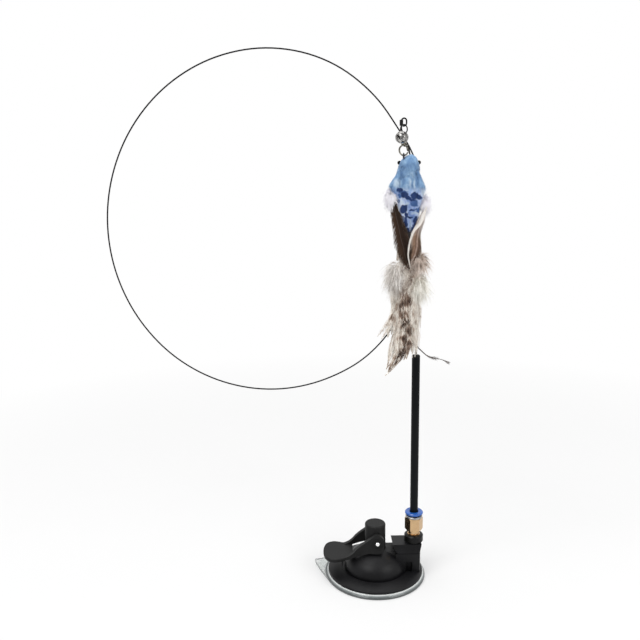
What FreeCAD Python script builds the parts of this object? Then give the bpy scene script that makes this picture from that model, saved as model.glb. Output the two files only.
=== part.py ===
import FreeCAD, Part
import math
import os

# Cat teaser wand: a lever-locked suction base, a tube fitting with a swivelling rod,
# a long spring wire bent round in a loop, and a feathered cloth bird on a clasp.
# Millimetres. +Z is up, and the origin is the middle of the suction pad on the floor.

V = FreeCAD.Vector

# Suction pad
PAD_R = 38.2
PAD_FLAT_R = 37.4
PAD_FLAT_INNER_R = 24.0
PAD_TOP_Z = 3.4
PAD_CENTRE_TOP_Z = 5.0
PAD_HOLLOW_Z = 2.2
PAD_SLOPE_R = 20.5
PAD_SEAT_R = 14.2
TAB_ANGLE = 164.0
TAB_REACH = 48.6
TAB_TIP_R = 2.2
TAB_Z = (0.4, 2.1)

# Moulded cover with its dome and socket
COVER_R = 36.3
BAND_INNER_R = 26.0
DOME_R = 23.2
DOME_TOP_Z = 21.2
WALL = 2.2
GUIDE_R = 8.22
SOCKET_HALF = 10.0
SOCKET_TOP_Z = 20.6
SOCKET_LEFT_X = 15.5
SOCKET_R = 34.7
CAVITY_X = (18.0, 31.0)
CAVITY_HALF = 7.0
WINDOW_X = (22.7, 27.7)
WINDOW_Z = (4.9, 14.1)
SADDLE_HALF = 8.0

# Lock post, lever and pin
POST_R = 7.9
POST_TOP_Z = 41.9
FLANGE_R = 12.0
FLANGE_Z = (3.2, 5.0)
PIVOT_X = 1.0
PIVOT_Z = 30.0
PIN_R = 1.5
PIN_HALF = 12.5
ARM_Y = (8.4, 11.9)
THUMB_Z = (16.65, 19.2)
THUMB_START_X = -23.8
WEB_X = (-26.0, -17.4)
WEB_LOW_Z = 17.4
RIM_RADII = (4.2, 2.7)

# Return spring round the post
SPRING_R = 10.0
SPRING_WIRE_R = 0.65
SPRING_TURNS = 4
SPRING_Z = (5.7, 16.9)

# Rod, fitting and the block that holds them
ROD_X = 29.7
ROD_R = 3.0
ROD_BORE_R = 2.0
ROD_Z = (39.0, 172.8)
PLUG_HEAD = 1.8
BLOCK_TOP_Z = 27.0
BLOCK_TOP_HALF = 7.4
TONGUE_HALF = 6.8
NOSE_FRONT_Y = -7.8
STUD_R = 4.8
STUD_LOW_Z = 21.5
RING_R = 7.2
RING_TOP_Z = 32.8
NECK_R = 4.4
HEX_Z = (36.5, 46.6)
HEX_FLATS = 12.0
HEX_BEVEL = 0.8
SEAT_R = 4.5
SEAL_Z = (40.8, 42.6)
GRAB_Z = (43.6, 43.9)
COLLAR_R = 6.4
COLLAR_HEIGHT = 1.6
STEM_LOW_Z = 45.2
COLLET_R = 6.85
COLLET_Z = (49.3, 51.3)
RUN_FIT = 0.06

# Whip wire
WIRE_R = 0.5
CLEAR = 0.06
WHIP_ROUTE = [
    (ROD_X, 0.0, 150.0),
    (ROD_X, 0.0, 278.0),
    (29.6, 0.0, 292.0),
    (29.2, 0.0, 302.0),
    (28.3, 0.0, 309.0),
    (26.9, 0.0, 314.5),
    (24.8, -0.1, 319.5),
    (15.3, -0.5, 335.1),
    (-0.9, -1.0, 356.7),
    (-31.8, -1.3, 379.3),
    (-69.4, -1.6, 388.5),
    (-107.5, -1.8, 383.4),
    (-141.0, -2.1, 365.9),
    (-166.6, -2.3, 339.1),
    (-182.5, -2.6, 306.6),
    (-188.4, -2.8, 271.2),
    (-183.9, -3.1, 235.8),
    (-169.1, -3.3, 202.8),
    (-144.5, -3.6, 175.4),
    (-111.7, -3.8, 157.3),
    (-74.3, -4.0, 151.2),
    (-36.9, -4.3, 158.4),
    (-4.1, -4.7, 177.8),
    (13.6, -5.1, 200.2),
    (22.0, -5.5, 228.0),
    (24.0, -5.5, 257.0),
    (24.0, -5.6, 286.0),
    (23.6, -7.0, 306.0),
    (21.6, -12.5, 319.5),
    (16.6, -23.0, 329.6),
    (14.4, -27.0, 334.6),
]

# Eye at the wire's end, with the sleeve beside it
SLEEVE_R = 1.15
SLEEVE_Z = (335.3, 340.0)
TIP_X = 14.4
TIP_Y = -27.0
EYE_R = 1.9
EYE_TURN = -35.0
EYE_TOP_Z = 339.9
EYE_END_RUN = 0.9
EYE_LOW_Z = 336.9

# Ring, swivel clasp and bell under the eye
RING_WIRE_R = 0.4
LINK_R = 2.9
LINK_TURN = 55.0
CLASP_WIRE_R = 0.65
HOOK_DROP = 7.0
GATE_PIN_R = 0.35
GATE_PIN_OUT = 2.0
GATE_PIN_DROP = 0.8
SWIVEL_R = 1.5
SWIVEL_WIRE_R = 0.45
BELL_R = 4.0
BELL_WALL = 0.35
BELL_SLOPE = -58.0
BELL_LOOP_R = 1.3
BELL_LOOP_WIRE_R = 0.3
BELL_SLOT_DEPTH = 1.6
BELL_SLOT_TURN = 85.0
BALL_R = 1.3

# Cloth bird
BIRD_Y = -26.8
EYE_BEAD_R = 1.35
EYE_BEAD_X = (13.5, 26.4)
EYE_BEAD_Z = 311.8
LOOP_R = 2.0
CORD_R = 0.45


def cylinder(radius, low, high, x=0.0, y=0.0):
    """Upright round bar between two heights."""
    return Part.makeCylinder(radius, high - low, V(x, y, low))


def pipe(outer, inner, low, high, x=0.0, y=0.0):
    """Upright tube between two heights."""
    return cylinder(outer, low, high, x, y).cut(cylinder(inner, low - 1, high + 1, x, y))


def block(x, y, z):
    """Box between pairs of limits."""
    return Part.makeBox(x[1] - x[0], y[1] - y[0], z[1] - z[0], V(x[0], y[0], z[0]))


def bar_along_y(radius, low, high, x, z):
    """Round bar that lies along Y."""
    return Part.makeCylinder(radius, high - low, V(x, low, z), V(0, 1, 0))


def path_edges(steps):
    """Edges through steps, each a point for a line or (middle, end) for an arc."""
    edges = []
    here = steps[0]
    for step in steps[1:]:
        if isinstance(step, tuple):
            edges.append(Part.Arc(here, step[0], step[1]).toShape())
            here = step[1]
        else:
            edges.append(Part.LineSegment(here, step).toShape())
            here = step
    return edges


def turned(steps, x=0.0, y=0.0):
    """Solid turned about an upright axis from a closed outline of (radius, height)."""
    spots = [as_outline_point(step) for step in steps]
    face = Part.Face(Part.Wire(path_edges(spots)))
    solid = face.revolve(V(0, 0, 0), V(0, 0, 1), 360)
    solid.translate(V(x, y, 0))
    return solid


def as_outline_point(step):
    """A point, or a pair of points for an arc, in the XZ plane."""
    if isinstance(step[0], tuple):
        return (V(step[0][0], 0, step[0][1]), V(step[1][0], 0, step[1][1]))
    return V(step[0], 0, step[1])


def plate(steps, low, high):
    """Plate with an outline in the XZ plane, between two Y limits."""
    spots = [as_outline_point(step) for step in steps]
    face = Part.Face(Part.Wire(path_edges(spots)))
    solid = face.extrude(V(0, high - low, 0))
    solid.translate(V(0, low, 0))
    return solid


def prism(steps, low, high):
    """Upright prism with an outline in plan, between two heights."""
    face = Part.Face(Part.Wire(path_edges(steps)))
    solid = face.extrude(V(0, 0, high - low))
    solid.translate(V(0, 0, low))
    return solid


def one_solid(shape):
    """The largest solid of a shape, with its seams merged."""
    return max(shape.removeSplitter().Solids, key=lambda solid: solid.Volume)


def rounded(shape, radius, wanted):
    """Shape with a radius on the edges that the test picks."""
    edges = [edge for edge in shape.Edges if wanted(edge)]
    return shape.makeFillet(radius, edges)


def at_height(z):
    """Test for an edge that lies flat at one height."""
    def test(edge):
        box = edge.BoundBox
        return abs(box.ZMin - z) < 1e-6 and abs(box.ZMax - z) < 1e-6
    return test


def arc_or_line(start, corner, end):
    """The arc that leaves start for the corner and comes into end from it."""
    chord_middle = (start + end) * 0.5
    first = (corner - start).normalize()
    second = (end - corner).normalize()
    turn = first.getAngle(second)
    if turn < 1e-4:
        return Part.LineSegment(start, end).toShape()
    rise = math.tan(turn / 4) / math.tan(turn / 2)
    middle = chord_middle + (corner - chord_middle) * rise
    return Part.Arc(start, middle, end).toShape()


def biarc(start, start_way, end, end_way):
    """Two tangent arcs between two points with given directions."""
    span = end - start
    ways = start_way + end_way
    even = 2 * (1 - start_way.dot(end_way))
    along = span.dot(ways)
    if even < 1e-9:
        reach = span.dot(span) / (2 * along)
    else:
        reach = (-along + math.sqrt(along ** 2 + even * span.dot(span))) / even
    first_corner = start + start_way * reach
    second_corner = end - end_way * reach
    joint = (first_corner + second_corner) * 0.5
    return [arc_or_line(start, first_corner, joint), arc_or_line(joint, second_corner, end)]


def way_at(before, here, after):
    """Direction at the middle one of three points, on the circle through them."""
    first = here - before
    second = after - here
    way = first * (second.Length / first.Length) + second * (first.Length / second.Length)
    return way.normalize()


def smooth_path(points, first_way, last_way):
    """Tangent arcs through all the points."""
    ways = [first_way]
    for before, here, after in zip(points, points[1:], points[2:]):
        ways.append(way_at(before, here, after))
    ways.append(last_way)
    edges = []
    for index in range(len(points) - 1):
        edges += biarc(points[index], ways[index], points[index + 1], ways[index + 1])
    return edges


def wire_along(edges, radius):
    """Round wire swept along a chain of tangent edges."""
    spine = Part.Wire(edges)
    start = edges[0].valueAt(edges[0].FirstParameter)
    way = edges[0].tangentAt(edges[0].FirstParameter)
    circle = Part.Wire([Part.Circle(start, way, radius).toShape()])
    return spine.makePipeShell([circle], True, False)


def ring_about(centre, normal, radius, wire_radius):
    """Closed round ring."""
    return Part.makeTorus(radius, wire_radius, centre, normal)


def oval(x, y, z, half_x, half_y):
    """Level oval wire of four arcs."""
    slant = math.sqrt(0.5)
    corners = [V(x + half_x, y, z), V(x, y + half_y, z), V(x - half_x, y, z), V(x, y - half_y, z)]
    signs = [(1, 1), (-1, 1), (-1, -1), (1, -1)]
    edges = []
    for index, (sx, sy) in enumerate(signs):
        middle = V(x + sx * half_x * slant, y + sy * half_y * slant, z)
        edges.append(Part.Arc(corners[index], middle, corners[(index + 1) % 4]).toShape())
    return Part.Wire(edges)


def stuffed(sections):
    """Soft form that swells and tapers through level ovals (x, y, z, half x, half y)."""
    return Part.makeLoft([oval(*section) for section in sections], True, False)


def lens(centre, way, across, width, thick):
    """Pointed oval wire of two arcs, square to the way of a feather."""
    out = way.cross(across).normalize()
    side = out.cross(way).normalize()
    left = centre - side * (width / 2)
    right = centre + side * (width / 2)
    front = Part.Arc(left, centre + out * (thick / 2), right).toShape()
    back = Part.Arc(right, centre - out * (thick / 2), left).toShape()
    return Part.Wire([front, back])


def feather(stations, turn=0.0):
    """Feather blade through stations (x, y, z, width, thickness), turned about Z."""
    across = V(math.cos(math.radians(turn)), math.sin(math.radians(turn)), 0)
    points = [V(*station[:3]) for station in stations]
    wires = []
    for index, station in enumerate(stations):
        before = points[max(index - 1, 0)]
        after = points[min(index + 1, len(points) - 1)]
        way = (after - before).normalize()
        wires.append(lens(points[index], way, across, station[3], station[4]))
    return Part.makeLoft(wires, True, False)


def suction_pad():
    """Soft disc with a hollow underside, a seat for the post's flange and a pull tab."""
    disc = turned([
        (0, PAD_HOLLOW_Z),
        (8, PAD_HOLLOW_Z),
        (PAD_FLAT_INNER_R, 0),
        (PAD_FLAT_R, 0),
        ((PAD_R - 0.15, 0.35), (PAD_R, 0.9)),
        (PAD_R, 1.5),
        (COVER_R + 0.5, PAD_TOP_Z),
        (PAD_SLOPE_R, PAD_TOP_Z),
        (PAD_SEAT_R, PAD_CENTRE_TOP_Z),
        (0, PAD_CENTRE_TOP_Z),
        (0, PAD_HOLLOW_Z),
    ])
    seat = cylinder(FLANGE_R, FLANGE_Z[0], FLANGE_Z[1] + 1)
    return one_solid(disc.fuse(pull_tab()).cut(seat))


def pull_tab():
    """Pointed ear whose sides run straight off the pad's edge, curled up at its tip."""
    tip_x = TAB_REACH - TAB_TIP_R
    lean = math.acos((PAD_R - TAB_TIP_R) / tip_x)
    root_x = PAD_R * math.cos(lean)
    root_y = PAD_R * math.sin(lean)
    end_x = tip_x + TAB_TIP_R * math.cos(lean)
    end_y = TAB_TIP_R * math.sin(lean)
    sheet = plate([
        (root_x, TAB_Z[0]),
        (40, TAB_Z[0]),
        ((44.8, 0.9), (TAB_REACH + 0.2, 2.4)),
        (TAB_REACH + 0.2, 4.2),
        ((44.6, 2.5), (40, TAB_Z[1])),
        (root_x, TAB_Z[1]),
        (root_x, TAB_Z[0]),
    ], -root_y, root_y)
    outline = prism([
        V(root_x, -root_y, 0),
        V(end_x, -end_y, 0),
        (V(TAB_REACH, 0, 0), V(end_x, end_y, 0)),
        V(root_x, root_y, 0),
        V(root_x, -root_y, 0),
    ], -1, 6)
    ear = sheet.common(outline)
    ear.rotate(V(0, 0, 0), V(0, 0, 1), TAB_ANGLE)
    return ear


def cover_shell():
    """Turned part of the cover: rim, sloping band, groove and dome."""
    outside = turned([
        (0, PAD_TOP_Z),
        (COVER_R, PAD_TOP_Z),
        (COVER_R, 4.4),
        ((COVER_R - 0.35, 5.1), (COVER_R - 1.1, 5.4)),
        ((31.5, 6.3), (BAND_INNER_R, 6.8)),
        (BAND_INNER_R - 0.6, 5.6),
        (DOME_R + 0.4, 5.4),
        ((DOME_R - 1.0, 11.2), (17.6, 16.8)),
        ((13.0, 19.9), (0, DOME_TOP_Z)),
        (0, PAD_TOP_Z),
    ])
    inside = turned([
        (0, 0),
        (33.4, 0),
        (33.4, PAD_TOP_Z + 0.8),
        (21.4, PAD_TOP_Z + 0.8),
        ((20.2, 10.2), (16.0, 15.0)),
        ((11.4, 17.6), (0, DOME_TOP_Z - WALL - 0.6)),
        (0, 0),
    ])
    return outside, inside


def base_cover():
    """Cover with the post's guide, the saddle and the socket for the block."""
    outside, inside = cover_shell()
    saddle = block((GUIDE_R, SOCKET_LEFT_X - 0.5), (-SADDLE_HALF, SADDLE_HALF), (PAD_TOP_Z, DOME_TOP_Z))
    saddle = rounded(saddle, 1.5, lambda edge: edge_on_top_side(edge, SADDLE_HALF, DOME_TOP_Z))
    socket = block((SOCKET_LEFT_X - 0.5, COVER_R), (-SOCKET_HALF, SOCKET_HALF), (PAD_TOP_Z, SOCKET_TOP_Z))
    socket = socket.common(cylinder(SOCKET_R, 0, SOCKET_TOP_Z + 1))
    cavity = block(CAVITY_X, (-CAVITY_HALF, CAVITY_HALF), (WINDOW_Z[0], SOCKET_TOP_Z + 1))
    window = block(WINDOW_X, (-SOCKET_HALF - 1, 0), WINDOW_Z)
    body = outside.fuse([saddle, socket])
    body = body.cut([inside, cavity, window, cylinder(GUIDE_R, 0, DOME_TOP_Z + 5)])
    return one_solid(body)


def edge_on_top_side(edge, half, z):
    """Whether an edge is one of the two long top edges of a box."""
    box = edge.BoundBox
    on_top = abs(box.ZMin - z) < 1e-6 and abs(box.ZMax - z) < 1e-6
    on_side = abs(abs(box.YMin) - half) < 1e-6 and abs(box.YMax - box.YMin) < 1e-6
    return on_top and on_side


def return_spring():
    """Coil that pushes the post down when the lever is let go."""
    points = []
    ways = []
    steps = SPRING_TURNS * 4
    rise = (SPRING_Z[1] - SPRING_Z[0]) / steps
    for step in range(steps + 1):
        angle = math.radians(90 * step)
        points.append(V(SPRING_R * math.cos(angle), SPRING_R * math.sin(angle), SPRING_Z[0] + rise * step))
        flat = SPRING_R * math.pi / 2
        ways.append(V(-math.sin(angle) * flat, math.cos(angle) * flat, rise).normalize())
    edges = []
    for index in range(steps):
        edges += biarc(points[index], ways[index], points[index + 1], ways[index + 1])
    gap = rise * 4 - 2 * SPRING_WIRE_R
    print("return_spring gap between turns", round(gap, 2), "mm")
    return wire_along(edges, SPRING_WIRE_R)


def lock_post():
    """Post that the lever pulls up, with its flange in the pad."""
    post = cylinder(POST_R, FLANGE_Z[1] - 0.5, POST_TOP_Z)
    post = rounded(post, 1.2, at_height(POST_TOP_Z))
    flange = cylinder(FLANGE_R, *FLANGE_Z)
    pin_hole = bar_along_y(PIN_R, -20, 20, PIVOT_X, PIVOT_Z)
    mark = block((-1.0, 2.8), (-POST_R - 1, -POST_R + 0.9), (35.4, 36.8))
    return one_solid(post.fuse(flange).cut([pin_hole, mark]))


def arm_outline():
    """Side view of a lever arm, from its thumb end round the cam and back."""
    return [
        (WEB_X[0], THUMB_Z[0]),
        (-20.0, 18.0),
        ((-12.4, 20.9), (-4.4, 22.3)),
        ((-1.8, 21.9), (0.8, 21.8)),
        ((4.4, 22.9), (6.0, 26.4)),
        (6.1, 30.6),
        ((4.2, 35.4), (-0.4, 36.9)),
        ((-1.6, 36.4), (-2.9, 35.2)),
        (-12.4, 28.2),
        (-15.5, 25.3),
        ((-18.6, 21.9), (-24.0, THUMB_Z[1])),
        (WEB_X[0], THUMB_Z[1]),
        (WEB_X[0], THUMB_Z[0]),
    ]


def thumb_plate():
    """Flat plate with a rounded outline, which a thumb lifts."""
    half = ARM_Y[1]
    slab = prism([
        V(THUMB_START_X, half, 0),
        (V(-26.9, 13.2, 0), V(-30.0, 14.2, 0)),
        (V(-35.2, 13.3, 0), V(-38.4, 9.8, 0)),
        (V(-40.2, 0, 0), V(-38.4, -9.8, 0)),
        (V(-35.2, -13.3, 0), V(-30.0, -14.2, 0)),
        (V(-26.9, -13.2, 0), V(THUMB_START_X, -half, 0)),
        V(THUMB_START_X, half, 0),
    ], *THUMB_Z)
    for z, radius in ((THUMB_Z[1], 0.7), (THUMB_Z[0], 0.5)):
        slab = rounded(slab, radius, lambda edge: at_height(z)(edge) and edge.BoundBox.XLength > 0.1)
    return slab


def lock_lever():
    """Forked lever: two cam arms round the post, with a web and a flat thumb plate."""
    front = plate(arm_outline(), -ARM_Y[1], -ARM_Y[0])
    rear = plate(arm_outline(), ARM_Y[0], ARM_Y[1])
    web = block(WEB_X, (-ARM_Y[0] - 0.5, ARM_Y[0] + 0.5), (WEB_LOW_Z, THUMB_Z[1]))
    hole = bar_along_y(PIN_R + RUN_FIT, -20, 20, PIVOT_X, PIVOT_Z)
    lever = front.fuse([rear, web, thumb_plate()] + boss_rings())
    return one_solid(lever.cut(hole))


def boss_rings():
    """Raised rings round the pin on the outer faces of the arms."""
    rings = []
    for side in (-1, 1):
        face = side * ARM_Y[1]
        for radius in RIM_RADII:
            low, high = sorted((face - side * 0.2, face + side * 0.35))
            outer = bar_along_y(radius, low, high, PIVOT_X, PIVOT_Z)
            inner = bar_along_y(radius - 0.6, low - 1, high + 1, PIVOT_X, PIVOT_Z)
            rings.append(outer.cut(inner))
    return rings


def lever_pin():
    """Steel pin through the post, which the lever turns on."""
    pin = bar_along_y(PIN_R, -PIN_HALF, PIN_HALF, PIVOT_X, PIVOT_Z)
    ends = [edge for edge in pin.Edges if abs(abs(edge.CenterOfMass.y) - PIN_HALF) < 1e-6]
    return pin.makeChamfer(0.3, ends)


def adapter_block():
    """Flared block that plugs into the cover's socket, with its latch nose."""
    seam = 0.4
    low = SOCKET_TOP_Z
    flare = plate([
        (SOCKET_LEFT_X + seam, low),
        (33.2 - seam, low),
        (33.2, low + seam),
        (35.0, BLOCK_TOP_Z),
        (12.8, BLOCK_TOP_Z),
        (SOCKET_LEFT_X, low + seam),
        (SOCKET_LEFT_X + seam, low),
    ], -SOCKET_HALF, SOCKET_HALF)
    flare = rounded(flare, 1.0, lambda edge: edge.BoundBox.YLength < 1e-6 and edge.BoundBox.ZLength > 5)
    end_view = [
        V(10, -SOCKET_HALF + seam, low),
        V(10, SOCKET_HALF - seam, low),
        V(10, SOCKET_HALF, low + seam),
        V(10, SOCKET_HALF, low + 0.8),
        V(10, BLOCK_TOP_HALF, BLOCK_TOP_Z),
        V(10, -BLOCK_TOP_HALF, BLOCK_TOP_Z),
        V(10, -SOCKET_HALF, low + 0.8),
        V(10, -SOCKET_HALF, low + seam),
        V(10, -SOCKET_HALF + seam, low),
    ]
    flare = flare.common(Part.Face(Part.makePolygon(end_view)).extrude(V(30, 0, 0)))
    tongue = block((18.2, 30.8), (-TONGUE_HALF, TONGUE_HALF), (5.2, low + 1))
    nose = block((23.1, 27.3), (NOSE_FRONT_Y, -6), (9.2, 13.6))
    slots = [block(x, (-7, -4.2), (5, 16)) for x in ((21.6, 22.4), (28.0, 28.8))]
    relief = block((22.4, 28.0), (-5.2, -4.2), (5, 16))
    body = flare.fuse([tongue, nose]).cut(slots + [relief])
    hole = cylinder(STUD_R + 0.02, STUD_LOW_Z, BLOCK_TOP_Z + 1, ROD_X)
    return one_solid(body.cut(hole))


def thread_ring():
    """Black lock nut that clamps the fitting's stud to the block."""
    ring = turned([
        (STUD_R + 0.02, BLOCK_TOP_Z),
        (RING_R - 0.5, BLOCK_TOP_Z),
        (RING_R, BLOCK_TOP_Z + 0.5),
        (RING_R, RING_TOP_Z - 0.9),
        (RING_R - 0.9, RING_TOP_Z),
        (STUD_R + 0.02, RING_TOP_Z),
        (STUD_R + 0.02, BLOCK_TOP_Z),
    ], ROD_X)
    return ring


def hex_bar(flats, low, high, x):
    """Upright hexagon bar with a flat towards the front."""
    corner = flats / math.sqrt(3)
    points = [V(x + corner * math.cos(math.radians(60 * k)),
                corner * math.sin(math.radians(60 * k)), low) for k in range(7)]
    return Part.Face(Part.makePolygon(points)).extrude(V(0, 0, high - low))


def fitting_body():
    """Brass body: stud, neck, hexagon and the stepped bore for the rod."""
    corner = HEX_FLATS / math.sqrt(3)
    limit = turned([
        (0, HEX_Z[0]),
        (HEX_FLATS / 2, HEX_Z[0]),
        (corner + 0.05, HEX_Z[0] + HEX_BEVEL),
        (corner + 0.05, HEX_Z[1] - HEX_BEVEL),
        (HEX_FLATS / 2, HEX_Z[1]),
        (0, HEX_Z[1]),
        (0, HEX_Z[0]),
    ], ROD_X)
    nut = hex_bar(HEX_FLATS, HEX_Z[0], HEX_Z[1], ROD_X).common(limit)
    neck = turned([
        (0, STUD_LOW_Z),
        (STUD_R - 0.6, STUD_LOW_Z),
        (STUD_R, STUD_LOW_Z + 0.6),
        (STUD_R, RING_TOP_Z + 0.3),
        (NECK_R - 0.3, RING_TOP_Z + 0.6),
        (NECK_R, RING_TOP_Z + 1.0),
        (NECK_R, HEX_Z[0] + 1),
        (0, HEX_Z[0] + 1),
        (0, STUD_LOW_Z),
    ], ROD_X)
    bores = [
        cylinder(SEAT_R, SEAL_Z[0], 60, ROD_X),
        cylinder(ROD_R + RUN_FIT, ROD_Z[0], 60, ROD_X),
        cylinder(ROD_BORE_R, 10, 60, ROD_X),
    ]
    return one_solid(nut.fuse(neck).cut(bores))


def fitting_collar():
    """Nickel ring pressed on top of the hexagon, which keeps the collet in."""
    inner = SEAT_R - 0.15
    top = HEX_Z[1] + COLLAR_HEIGHT
    return turned([
        (inner, HEX_Z[1]),
        (COLLAR_R - 0.2, HEX_Z[1]),
        (COLLAR_R, HEX_Z[1] + 0.3),
        (COLLAR_R, top - 0.4),
        (COLLAR_R - 0.4, top),
        (inner, top),
        (inner, HEX_Z[1]),
    ], ROD_X)


def tube_seal():
    """Rubber seal round the rod inside the fitting."""
    return turned([
        (ROD_R + RUN_FIT, SEAL_Z[0]),
        (SEAT_R, SEAL_Z[0]),
        (SEAT_R, SEAL_Z[1]),
        (ROD_R + RUN_FIT, SEAL_Z[1]),
        (ROD_R + RUN_FIT, SEAL_Z[0]),
    ], ROD_X)


def grab_ring():
    """Thin toothed ring that holds the rod in the fitting."""
    ring = pipe(SEAT_R, ROD_R + RUN_FIT, *GRAB_Z, ROD_X)
    notches = []
    for step in range(8):
        notch = block((ROD_R - 1, 3.9), (-0.35, 0.35), (GRAB_Z[0] - 1, GRAB_Z[1] + 1))
        notch.rotate(V(0, 0, 0), V(0, 0, 1), 45 * step)
        notch.translate(V(ROD_X, 0, 0))
        notches.append(notch)
    return one_solid(ring.cut(notches))


def release_collet():
    """Blue release ring with its slit stem."""
    ring = turned([
        (ROD_R + 0.12, STEM_LOW_Z),
        (SEAT_R - 0.3, STEM_LOW_Z),
        (SEAT_R - 0.3, COLLET_Z[0]),
        (COLLET_R - 0.5, COLLET_Z[0]),
        (COLLET_R, COLLET_Z[0] + 0.5),
        (COLLET_R, COLLET_Z[1] - 0.6),
        (COLLET_R - 0.6, COLLET_Z[1]),
        (ROD_R + 0.7, COLLET_Z[1]),
        (ROD_R + 0.12, COLLET_Z[1] - 0.5),
        (ROD_R + 0.12, STEM_LOW_Z),
    ], ROD_X)
    slits = []
    for step in range(2):
        slit = block((-6, 6), (-0.3, 0.3), (STEM_LOW_Z - 1, COLLET_Z[0] - 0.7))
        slit.rotate(V(0, 0, 0), V(0, 0, 1), 90 * step + 45)
        slit.translate(V(ROD_X, 0, 0))
        slits.append(slit)
    return one_solid(ring.cut(slits))


def rod_tube():
    """Black tube that the wire stands in."""
    return pipe(ROD_R, ROD_BORE_R, ROD_Z[0], ROD_Z[1], ROD_X)


def rod_tip_plug(wire):
    """Cap that closes the tube round the wire."""
    top = ROD_Z[1]
    plug = turned([
        (0, top - 9),
        (ROD_BORE_R - 0.3, top - 9),
        (ROD_BORE_R, top - 8.4),
        (ROD_BORE_R, top),
        (ROD_R, top),
        (ROD_R, top + PLUG_HEAD / 2),
        ((ROD_R - 0.35, top + PLUG_HEAD - 0.25), (ROD_R - 1.1, top + PLUG_HEAD)),
        (0, top + PLUG_HEAD),
        (0, top - 9),
    ], ROD_X)
    return one_solid(plug.cut(wire))


def wire_ferrule(wire):
    """Crimped ferrule on the wire's lower end, inside the tube."""
    low = WHIP_ROUTE[0][2] + 1
    return one_solid(cylinder(1.7, low, low + 8, ROD_X).cut(wire))


def whip_points():
    """The route's points as vectors."""
    return [V(*point) for point in WHIP_ROUTE]


def eye_point(out, z):
    """Point in the plane of the wire's eye, a distance out from the wire's upright end."""
    angle = math.radians(EYE_TURN)
    return V(TIP_X + out * math.cos(angle), TIP_Y + out * math.sin(angle), z)


def whip_edges():
    """Tangent arcs of the whole wire, with the eye that its end is bent into."""
    points = whip_points()
    edges = smooth_path(points, V(0, 0, 1), V(0, 0, 1))
    top = eye_point(0, EYE_TOP_Z - EYE_R)
    far_top = eye_point(2 * EYE_R, EYE_TOP_Z - EYE_R)
    far_low = eye_point(2 * EYE_R, EYE_LOW_Z)
    low = eye_point(EYE_R, EYE_LOW_Z - EYE_R)
    slant = EYE_R * math.sqrt(0.5)
    bend = eye_point(EYE_R + slant, EYE_LOW_Z - slant)
    edges.append(Part.LineSegment(points[-1], top).toShape())
    edges.append(Part.Arc(top, eye_point(EYE_R, EYE_TOP_Z), far_top).toShape())
    edges.append(Part.LineSegment(far_top, far_low).toShape())
    edges.append(Part.Arc(far_low, bend, low).toShape())
    edges.append(Part.LineSegment(low, eye_point(EYE_R - EYE_END_RUN, low.z)).toShape())
    return edges


def whip_wire():
    """Spring wire from the rod, round the loop and back to its eye."""
    edges = whip_edges()
    length = sum(edge.Length for edge in edges)
    radii = [edge.Curve.Radius for edge in edges if hasattr(edge.Curve, "Radius")]
    wire = wire_along(edges, WIRE_R)
    ratio = wire.Volume / (math.pi * WIRE_R ** 2 * length)
    print("whip_wire length", round(length, 1), "mm, least bend radius", round(min(radii), 2),
          "mm, volume over section times length", round(ratio, 4))
    return wire


def wire_end_sleeve(wire):
    """Black sleeve over the two strands below the eye."""
    sleeve = cylinder(SLEEVE_R, SLEEVE_Z[0], SLEEVE_Z[1] - 1.0, TIP_X, TIP_Y)
    sleeve = sleeve.makeFillet(0.3, sleeve.Edges[:1])
    return one_solid(sleeve.cut(wire))


def eye_bar():
    """Middle of the wire at the bottom of its eye, where the ring hangs."""
    return eye_point(EYE_R, EYE_LOW_Z - EYE_R)


def link_way():
    """Level direction that the ring's plane runs in."""
    angle = math.radians(LINK_TURN)
    return V(math.sin(angle), math.cos(angle), 0)


def link_centre():
    """Centre of the hanging ring."""
    bar = eye_bar()
    return V(bar.x, bar.y, bar.z + WIRE_R + RING_WIRE_R + CLEAR - LINK_R)


def split_ring():
    """Dark ring that joins the wire's eye to the clasp and the bell."""
    normal = link_way().cross(V(0, 0, 1))
    return ring_about(link_centre(), normal, LINK_R, RING_WIRE_R)


def swivel_centre():
    """Centre of the swivel's eye, hung in the ring."""
    low = link_centre().z - LINK_R
    return V(link_centre().x, link_centre().y, low + RING_WIRE_R + SWIVEL_WIRE_R + CLEAR - SWIVEL_R)


def swivel_eye():
    """Eye and stem of the swivel, with the head that turns inside the clasp."""
    centre = swivel_centre()
    eye = ring_about(centre, link_way(), SWIVEL_R, SWIVEL_WIRE_R)
    low = centre.z - SWIVEL_R
    stem = cylinder(0.55, low - 4.0, low + 0.2, centre.x, centre.y)
    head = cylinder(1.0, low - 4.1, low - 3.4, centre.x, centre.y)
    return one_solid(eye.fuse([stem, head]))


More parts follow.
